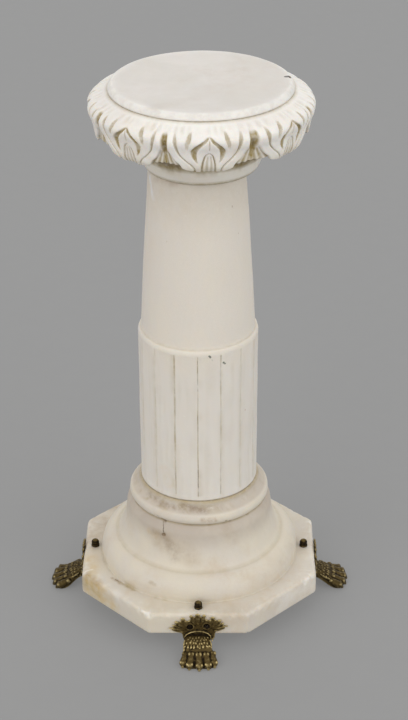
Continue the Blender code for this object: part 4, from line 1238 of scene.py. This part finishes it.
class Casting:
    """Sheets and balls of wax, gathered before they are melted into one skin."""

    def __init__(self):
        self.sheets = bmesh.new()
        self.places = {1: [], 2: [], 3: []}

    def ball(self, place, fineness=3):
        self.places[fineness].append(np.array(place))

    def mesh(self, name):
        points, faces, start = [], [], 0
        for fineness, places in self.places.items():
            work = bmesh.new()
            bmesh.ops.create_icosphere(work, subdivisions=fineness, radius=1)
            unit = np.array([spot.co[:] for spot in work.verts])
            corners = np.array([[spot.index for spot in face.verts] for face in work.faces])
            work.free()
            for place in places:
                points.append(unit @ place[:3, :3].T + place[:3, 3])
                faces.append(corners + start)
                start += len(unit)
        points, faces = np.concatenate(points), np.concatenate(faces)
        balls = bpy.data.meshes.new("balls")
        balls.vertices.add(len(points))
        balls.vertices.foreach_set("co", points.ravel())
        balls.loops.add(faces.size)
        balls.loops.foreach_set("vertex_index", faces.ravel())
        balls.polygons.add(len(faces))
        balls.polygons.foreach_set("loop_start", np.arange(len(faces)) * 3)
        balls.update()
        self.sheets.from_mesh(balls)
        mesh = bpy.data.meshes.new(name)
        self.sheets.to_mesh(mesh)
        self.sheets.free()
        return mesh


def ball(work, across, out, height, radii):
    """A ball or ellipsoid with its middle at a place in front of the face."""
    fineness = 3 if max(radii) > 2.6 else 2 if max(radii) > 1.2 else 1
    work.ball(Matrix.Translation((across, -out, height)) @ Matrix.Diagonal((*radii, 1)), fineness)


def limb(work, knots):
    """A swelling limb through knots of (across, out, height, radius)."""
    for (x0, o0, h0, r0), (x1, o1, h1, r1) in zip(knots, knots[1:]):
        start, end = Vector((x0, -o0, h0)), Vector((x1, -o1, h1))
        steps = max(2, int((end - start).length / (0.35 * min(r0, r1))))
        for i in range(steps + 1):
            t = i / steps
            spot = start.lerp(end, t)
            radius = r0 + (r1 - r0) * (t * t * (3 - 2 * t))
            ball(work, spot.x, -spot.y, spot.z, (radius, radius, radius))


def lean_matrix(face):
    """Turns what is on the plate about its middle by the plate's own lean."""
    tilt = math.radians(PLATE_TILTS[face])
    middle = Matrix.Translation((0, 0, PLATE_MIDDLE))
    return middle @ Matrix.Rotation(-tilt, 4, "Y") @ middle.inverted()


def plate_form(work, lean):
    """Crown plate: a flat leafed sheet with the lobes standing out of it."""
    outline = [(-x, z) for x, z in reversed(PLATE_OUTLINE[1:])] + list(PLATE_OUTLINE)
    sheets = work.sheets
    back = [sheets.verts.new(lean @ Vector((x, -PLATE_BACK, z))) for x, z in outline]
    front = [sheets.verts.new(lean @ Vector((x, -PLATE_FRONT, z))) for x, z in outline]
    sheets.faces.new(back)
    sheets.faces.new(front[::-1])
    for i in range(len(outline)):
        j = (i + 1) % len(outline)
        sheets.faces.new((back[j], back[i], front[i], front[j]))
    for side in (-1, 1):
        for x0, z0, x1, z1, width, stand, bud_size in LOBES:
            if side < 0 and x1 == 0:
                continue
            root, tip = Vector((side * x0, 0, z0)), Vector((side * x1, 0, z1))
            middle = (root + tip) / 2
            run = tip - root
            turn = Matrix.Rotation(math.atan2(run.x, run.z), 4, "Y")
            spot = lean @ Matrix.Translation((middle.x, -1.7, middle.z)) @ turn
            work.ball(spot @ Matrix.Diagonal((width, stand, run.length / 2, 1)))
            if bud_size:
                bud = lean @ Matrix.Translation((side * x1, -2.0, z1))
                work.ball(bud @ Matrix.Diagonal((bud_size, 1.35, bud_size, 1)))
        for i in range(BEADS):
            angle = math.tau * i / BEADS
            x = side * SCREW_ACROSS + BEAD_RING * math.cos(angle)
            z = SCREW_HEIGHT + BEAD_RING * math.sin(angle)
            work.ball(lean @ Matrix.Translation((x, -1.9, z)) @ Matrix.Scale(BEAD_SIZE, 4), 2)


def paw_form(work):
    """Paw: wrist and pad as a loft, then arch bar, locks, tufts, knuckles, toes and claws."""
    rings = []
    for out, top, under, half, shift in PAW_BODY:
        ring = []
        for i in range(PAW_SIDES):
            angle = math.tau * i / PAW_SIDES
            across = math.copysign(abs(math.cos(angle)) ** PAW_SPREAD, math.cos(angle)) * half
            rise = max(math.sin(angle), 0.0) ** PAW_RISE
            ring.append(work.sheets.verts.new((across + shift, -out, under + (top - under) * rise)))
        rings.append(ring)
    loft(work.sheets, rings)
    limb(work, [(x, 3.0, z, 1.1) for x, z in ARCH_BAR])
    lots = np.random.default_rng(11)
    for row, (start, end, thick) in enumerate(LOCK_ROWS):
        for i in range(LOCKS):
            across = (i - (LOCKS - 1) / 2 + 0.5 * row) * LOCK_GAP + lots.uniform(-0.9, 0.9)
            finish = end + lots.uniform(-1.8, 1.2) - 0.02 * across ** 2
            knots = []
            for t, size in LOCK_FORM:
                out = start + (finish - start) * t
                spot = across * (1 + 0.1 * t) + lots.uniform(-0.35, 0.35)
                height = paw_top(out, spot) - 0.35 + 0.55 * t
                knots.append((spot - 1.0, out, height, thick * size))
            limb(work, knots)
    for side in (-1, 1):
        for start, drop in TUFTS:
            limb(work, [(side * 17.0 - 1.2, start, -drop, 1.0),
                        (side * 17.9 - 1.0, start + 4, -drop - 2.6, 1.3),
                        (side * 18.6 - 0.8, start + 7, -drop - 5.4, 0.8)])
    for across, out, height, size in KNUCKLES:
        for side in (-1, 1):
            ball(work, across + side * 0.42 * size, out, height,
                 (size * 0.66, size * 0.9, size * 0.8))
        ball(work, across, out + 1.0, height - 1.6, (size, size * 1.1, size * 0.9))
    gap, further, higher, size = TOE_PADS
    for knots in TOES:
        limb(work, knots)
        across, out, height, _ = knots[-1]
        for side in (-1, 1):
            ball(work, across + side * gap, out + further, height + higher, (size, size, size))
        limb(work, [(across * 1.02, out + 2.6, height - 1.4, 3.0),
                    (across * 1.03, out + 4.0, height - 3.2, 2.3)])


def proud_of(mesh):
    """How far each point stands out of or back from its surroundings, from 0 to 1."""
    count = len(mesh.vertices)
    points = points_of(mesh)
    normals = np.empty(count * 3, np.float32)
    mesh.vertex_normals.foreach_get("vector", normals)
    normals = normals.reshape(-1, 3)
    edges = np.empty(len(mesh.edges) * 2, np.int32)
    mesh.edges.foreach_get("vertices", edges)
    first, second = edges.reshape(-1, 2).T
    links = np.bincount(first, minlength=count) + np.bincount(second, minlength=count)
    links = np.maximum(links, 1)

    def averaged(values):
        total = np.zeros_like(values)
        for axis in range(values.shape[1]):
            total[:, axis] = np.bincount(first, values[second, axis], count)
            total[:, axis] += np.bincount(second, values[first, axis], count)
        return total / links[:, None]

    smooth = points
    for _ in range(10):
        smooth = averaged(smooth)
    stand = np.sum((points - smooth) * normals, axis=1, keepdims=True)
    for _ in range(3):
        stand = averaged(stand)
    return np.clip(0.5 + stand[:, 0] / PROUD_SPAN, 0, 1)


def plate_drills(face):
    """Stepped cutters for a plate's two screw holes; the front's right one is ragged."""
    work = bmesh.new()
    sides = 36
    for side in (-1, 1):
        across, height = screw_place(face, side)
        ragged = 0.17 if face == "front" and side > 0 else 0.0
        rings = []
        for out, radius, rough in (
                (-3.0, SCREW_RADIUS, 0.0), (1.0, SCREW_RADIUS, 0.0),
                (1.0, COUNTERBORE, ragged), (9.0, COUNTERBORE, ragged)):
            ring = []
            for i in range(sides):
                angle = math.tau * i / sides
                waves = math.sin(2 * angle + 0.7) + 0.8 * math.sin(5 * angle)
                reach = radius * (1 + rough * (waves + 0.5 * math.sin(9 * angle + 2)))
                ring.append(work.verts.new(
                    (across + reach * math.cos(angle), -out, height + reach * math.sin(angle))))
            rings.append(ring)
        loft(work, rings)
    bmesh.ops.recalc_face_normals(work, faces=work.faces)
    drills = bpy.data.meshes.new("plate drills")
    work.to_mesh(drills)
    work.free()
    drills.transform(Matrix.Scale(MM, 4))
    return drills


def cast_foot(face, detail):
    """One paw with its crown plate as a single casting, at the front of the plinth."""
    work = Casting()
    plate_form(work, lean_matrix(face))
    paw_form(work)
    mesh = work.mesh("casting")
    points = points_of(mesh)
    points[:, 1] = np.clip(points[:, 1], -PAW_REACH, -PLATE_BACK)
    points[:, 2] = np.maximum(points[:, 2], -PLINTH_FOOT)
    mesh.vertices.foreach_set("co", points.ravel())
    mesh.transform(Matrix.Scale(MM, 4))
    piece = loose("casting", mesh)
    melt = piece.modifiers.new("melt", "REMESH")
    melt.mode = "VOXEL"
    melt.voxel_size = detail
    ease = piece.modifiers.new("ease", "SMOOTH")
    ease.factor = 0.5
    ease.iterations = 2
    mesh = drilled(piece, plate_drills(face))

    across, outs, heights = points_of(mesh).T / MM
    marks = proud_of(mesh)
    if face == "front":
        marks = np.clip(marks + 0.11 * blend(-outs, 3, 8) * blend(outs, -24, -18), 0, 1)
    for side in (-1, 1):
        x, z = screw_place(face, side)
        marks = marks * blend(np.hypot(across - x, heights - z), 4.1, 4.7)
    store(mesh, "proud", marks)
    mesh.transform(onto_face("front") @ Matrix.Scale(1 / MM, 4))
    points = points_of(mesh)
    points[:, 2] = np.maximum(points[:, 2], 0)
    mesh.vertices.foreach_set("co", points.ravel())
    mesh.shade_smooth()
    return mesh


class COLUMN_OT_feet(bpy.types.Operator):
    """Cast the four lion paws with their leafed crown plates"""
    bl_idname = "column.feet"
    bl_label = "Cast the feet"

    def execute(self, context):
        detail = context.scene.column_brass.detail
        front = cast_foot("front", detail), brass_material("front paw brass", None, 0.85)
        # The side paws take a darker, less rubbed copy of the brass: painted shade for paws that
        # turn away from the front
        side = cast_foot("right", detail), brass_material("side paw brass in painted shade", None, 0.4, 0.72)
        for face, turn in FACES.items():
            mesh, brass = front if face == "front" else (side[0].copy(), side[1])
            mesh.transform(Matrix.Rotation(math.radians(turn), 4, "Z"))
            mesh.name = f"paw_{face}"
            settle(f"paw_{face}", mesh, brass, f"foot_{face}")
        bpy.data.meshes.remove(side[0])
        return {"FINISHED"}


# Cap nut as (radius, height over the plinth's top); its collar is hexagonal
NUT_RING = 145.0
NUT_DOME = (
    (0.9, 10.85), (2.2, 10.45), (3.34, 9.7), (4.26, 8.7), (4.9, 7.5), (5.2, 6.15), (5.15, 4.9),
    (4.75, 4.0), (4.5, 3.4), (4.9, 2.8), (5.6, 2.2), (5.75, 1.4), (5.5, 0.35),
)
NUT_COLLAR_TOP = 2.3
NUT_FLAT = 0.965             # share of the collar's radius at the middle of a flat


class COLUMN_OT_nuts(bpy.types.Operator):
    """Turn the four domed cap nuts on the plinth"""
    bl_idname = "column.nuts"
    bl_label = "Turn the cap nuts"

    def execute(self, context):
        brass = brass_material("nut brass", None, 0.9)
        angles = np.arange(72) * 5.0
        radii, heights = turned(NUT_DOME, angles)
        hexagon = NUT_FLAT / np.cos(np.radians((angles + 30) % 60 - 30))
        collar = blend(-heights, -NUT_COLLAR_TOP - 0.1, -NUT_COLLAR_TOP + 0.3)
        radii = radii * (1 + (np.minimum(hexagon, 1.02) - 1) * collar)
        # On the nuts proud follows height: the dome's top is painted bright, as highlight and
        # rubbed wear, the collar's rim brighter and the waist darker
        proud = 0.22 + 0.42 * blend(heights, 8.6, 10.4) + 0.2 * hump(heights - 2.2, 0.8)
        proud = proud - 0.2 * hump(heights - 3.6, 1.4)
        for face, turn in FACES.items():
            rings = round_points(angles, radii, heights + PLINTH_FOOT + PLINTH_TOP)
            middle = math.radians(FRONT + turn)
            rings[..., 0] += NUT_RING * math.cos(middle)
            rings[..., 1] += NUT_RING * math.sin(middle)
            mesh = skin(f"cap_nut_{face}", rings, marks={"proud": proud})
            settle(f"cap_nut_{face}", mesh, brass, f"nut_{face}")
        return {"FINISHED"}


# Screw as (radius, distance out from the face)
SCREW_HEAD = (
    (0.6, 2.7), (1.3, 2.6), (1.9, 2.35), (2.4, 2.0), (2.65, 1.85), (2.65, 1.8), (1.4, 1.75),
    (1.35, -2.0), (1.3, -9.0), (0.4, -10.8),
)
SCREW_SLOT_HALF = 0.42
SCREW_SLOT_TURN = 35.0


class COLUMN_OT_screws(bpy.types.Operator):
    """Drive the seven slotted screws; the front plate's right hole is empty"""
    bl_idname = "column.screws"
    bl_label = "Drive the screws"

    def execute(self, context):
        brass = brass_material("screw brass", 0.14, 0.3)
        angles = np.arange(40) * 9.0
        radii, outs = turned(SCREW_HEAD, angles)
        stand = Matrix.Rotation(math.pi / 2, 4, "X") @ Matrix.Scale(1 / MM, 4)
        for face in FACES:
            for side, word in ((-1, "left"), (1, "right")):
                if face == "front" and side > 0:
                    continue
                rings = round_points(angles, radii, outs)
                turn = math.radians(SCREW_SLOT_TURN * side + FACES[face])
                cross = rings[..., 0] * math.sin(turn) - rings[..., 1] * math.cos(turn)
                in_slot = blend(-np.abs(cross), -SCREW_SLOT_HALF - 0.25, -SCREW_SLOT_HALF + 0.1)
                rings[..., 2] -= in_slot * 0.7 * blend(outs, 2.0, 2.6)
                mesh = skin(f"plate_screw_{face}_{word}", rings)
                across, height = screw_place(face, side)
                mesh.transform(onto_face(face) @ Matrix.Translation((across, 0, height)) @ stand)
                settle(f"plate_screw_{face}_{word}", mesh, brass, f"screw_{face}_{word}")
        return {"FINISHED"}


# Camera, from the outline of the photograph: place in metres, angles in degrees
CAMERA_PLACE = (0.0278, -2.1407, 1.5326)
CAMERA_HEADING = -0.5412
CAMERA_PITCH = 28.8475
CAMERA_ROLL = -0.246
CAMERA_LENS = 92.678
FLOOR_HALF = 9.0             # metres
# Soft lights as (name, degrees right of the front, height, share of the key, spread, colour)
LIGHTS = (
    ("front left", -46.0, 27.0, 1.02, 60.0, (1.0, 0.984, 0.958)),
    ("front right", 54.0, 24.0, 1.12, 65.0, (0.985, 0.99, 0.985)),
    ("behind", 175.0, 34.0, 0.45, 70.0, (1.0, 0.99, 0.98)),
)


class COLUMN_OT_stage(bpy.types.Operator):
    """Set the floor, the soft lights and the camera"""
    bl_idname = "column.stage"
    bl_label = "Set the stage"

    def execute(self, context):
        scene = context.scene
        settings = scene.column_stage
        mesh = bpy.data.meshes.new("floor")
        corners = ((-1, -1), (1, -1), (1, 1), (-1, 1))
        mesh.from_pydata([(x * FLOOR_HALF, y * FLOOR_HALF, 0) for x, y in corners], [],
                         [(0, 1, 2, 3)])
        floor = loose("studio_floor", mesh)
        color = (*settings.floor, 1.0)
        made, board, shader = new_material(
            "studio floor", Roughness=0.9, Specular_IOR_Level=0.1, Emission_Color=color,
            Emission_Strength=settings.glow)
        speck = board.ramp(board.noise(board.place(), 30.0, 3.0)[0], 0.3, 0.7, 0.985, 1.0)
        board.feed(shader.inputs["Base Color"],
                   board.mix(1.0, color, board.grey(speck), "MULTIPLY"))
        mesh.materials.append(made)

        world = bpy.data.worlds.new("studio")
        world.use_nodes = True
        background = world.node_tree.nodes["Background"]
        background.inputs["Color"].default_value = WHITE
        background.inputs["Strength"].default_value = settings.sky
        scene.world = world
        for name, heading, height, share, spread, color in LIGHTS:
            lamp = bpy.data.lights.new(name, "SUN")
            lamp.energy = settings.key * share
            lamp.angle = math.radians(spread)
            lamp.color = color
            a, e = math.radians(heading), math.radians(height)
            back = Vector((math.sin(a) * math.cos(e), -math.cos(a) * math.cos(e), math.sin(e)))
            loose(name, lamp).rotation_euler = (-back).to_track_quat("-Z", "Y").to_euler()

        lens = bpy.data.cameras.new("camera")
        lens.lens = CAMERA_LENS
        lens.clip_end = 50.0
        camera = loose("camera", lens)
        h, p, r = (math.radians(a) for a in (CAMERA_HEADING, CAMERA_PITCH, CAMERA_ROLL))
        ahead = Vector((math.sin(h) * math.cos(p), math.cos(h) * math.cos(p), -math.sin(p)))
        right = Vector((math.cos(h), -math.sin(h), 0.0))
        up = right.cross(ahead)
        tilted_right = right * math.cos(r) + up * math.sin(r)
        tilted_up = up * math.cos(r) - right * math.sin(r)
        pose = Matrix((tilted_right, tilted_up, -ahead)).transposed().to_4x4()
        pose.translation = CAMERA_PLACE
        camera.matrix_world = pose
        scene.camera = camera
        scene.view_settings.view_transform = "Standard"
        return {"FINISHED"}


class COLUMN_PT_panel(bpy.types.Panel):
    """Builds the column's pieces one by one"""
    bl_idname = "COLUMN_PT_panel"
    bl_label = "Doric column"
    bl_space_type = "VIEW_3D"
    bl_region_type = "UI"
    bl_category = "Column"

    def draw(self, context):
        scene = context.scene
        for settings, names in (
                (scene.column_stone, ("disc", "capital", "shaft", "base", "columns")),
                (scene.column_brass, ("bright", "body", "hollow", "detail")),
                (scene.column_stage, ("floor", "glow", "sky", "key"))):
            box = self.layout.box()
            for name in names:
                box.prop(settings, name)
        for step in STEPS:
            self.layout.operator(step.bl_idname)


STEPS = (
    COLUMN_OT_base, COLUMN_OT_shaft, COLUMN_OT_capital, COLUMN_OT_disc, COLUMN_OT_feet,
    COLUMN_OT_nuts, COLUMN_OT_screws, COLUMN_OT_stage,
)
SETTINGS = {
    "column_stone": StoneSettings, "column_brass": BrassSettings, "column_stage": StageSettings}


def register():
    for kind in (*SETTINGS.values(), *STEPS, COLUMN_PT_panel):
        bpy.utils.register_class(kind)
    for name, kind in SETTINGS.items():
        setattr(bpy.types.Scene, name, PointerProperty(type=kind))


def unregister():
    for name in SETTINGS:
        delattr(bpy.types.Scene, name)
    for kind in (COLUMN_PT_panel, *STEPS, *SETTINGS.values()):
        bpy.utils.unregister_class(kind)


def main():
    register()
    for step in STEPS:
        family, name = step.bl_idname.split(".")
        getattr(getattr(bpy.ops, family), name)()


if __name__ == "__main__":
    main()
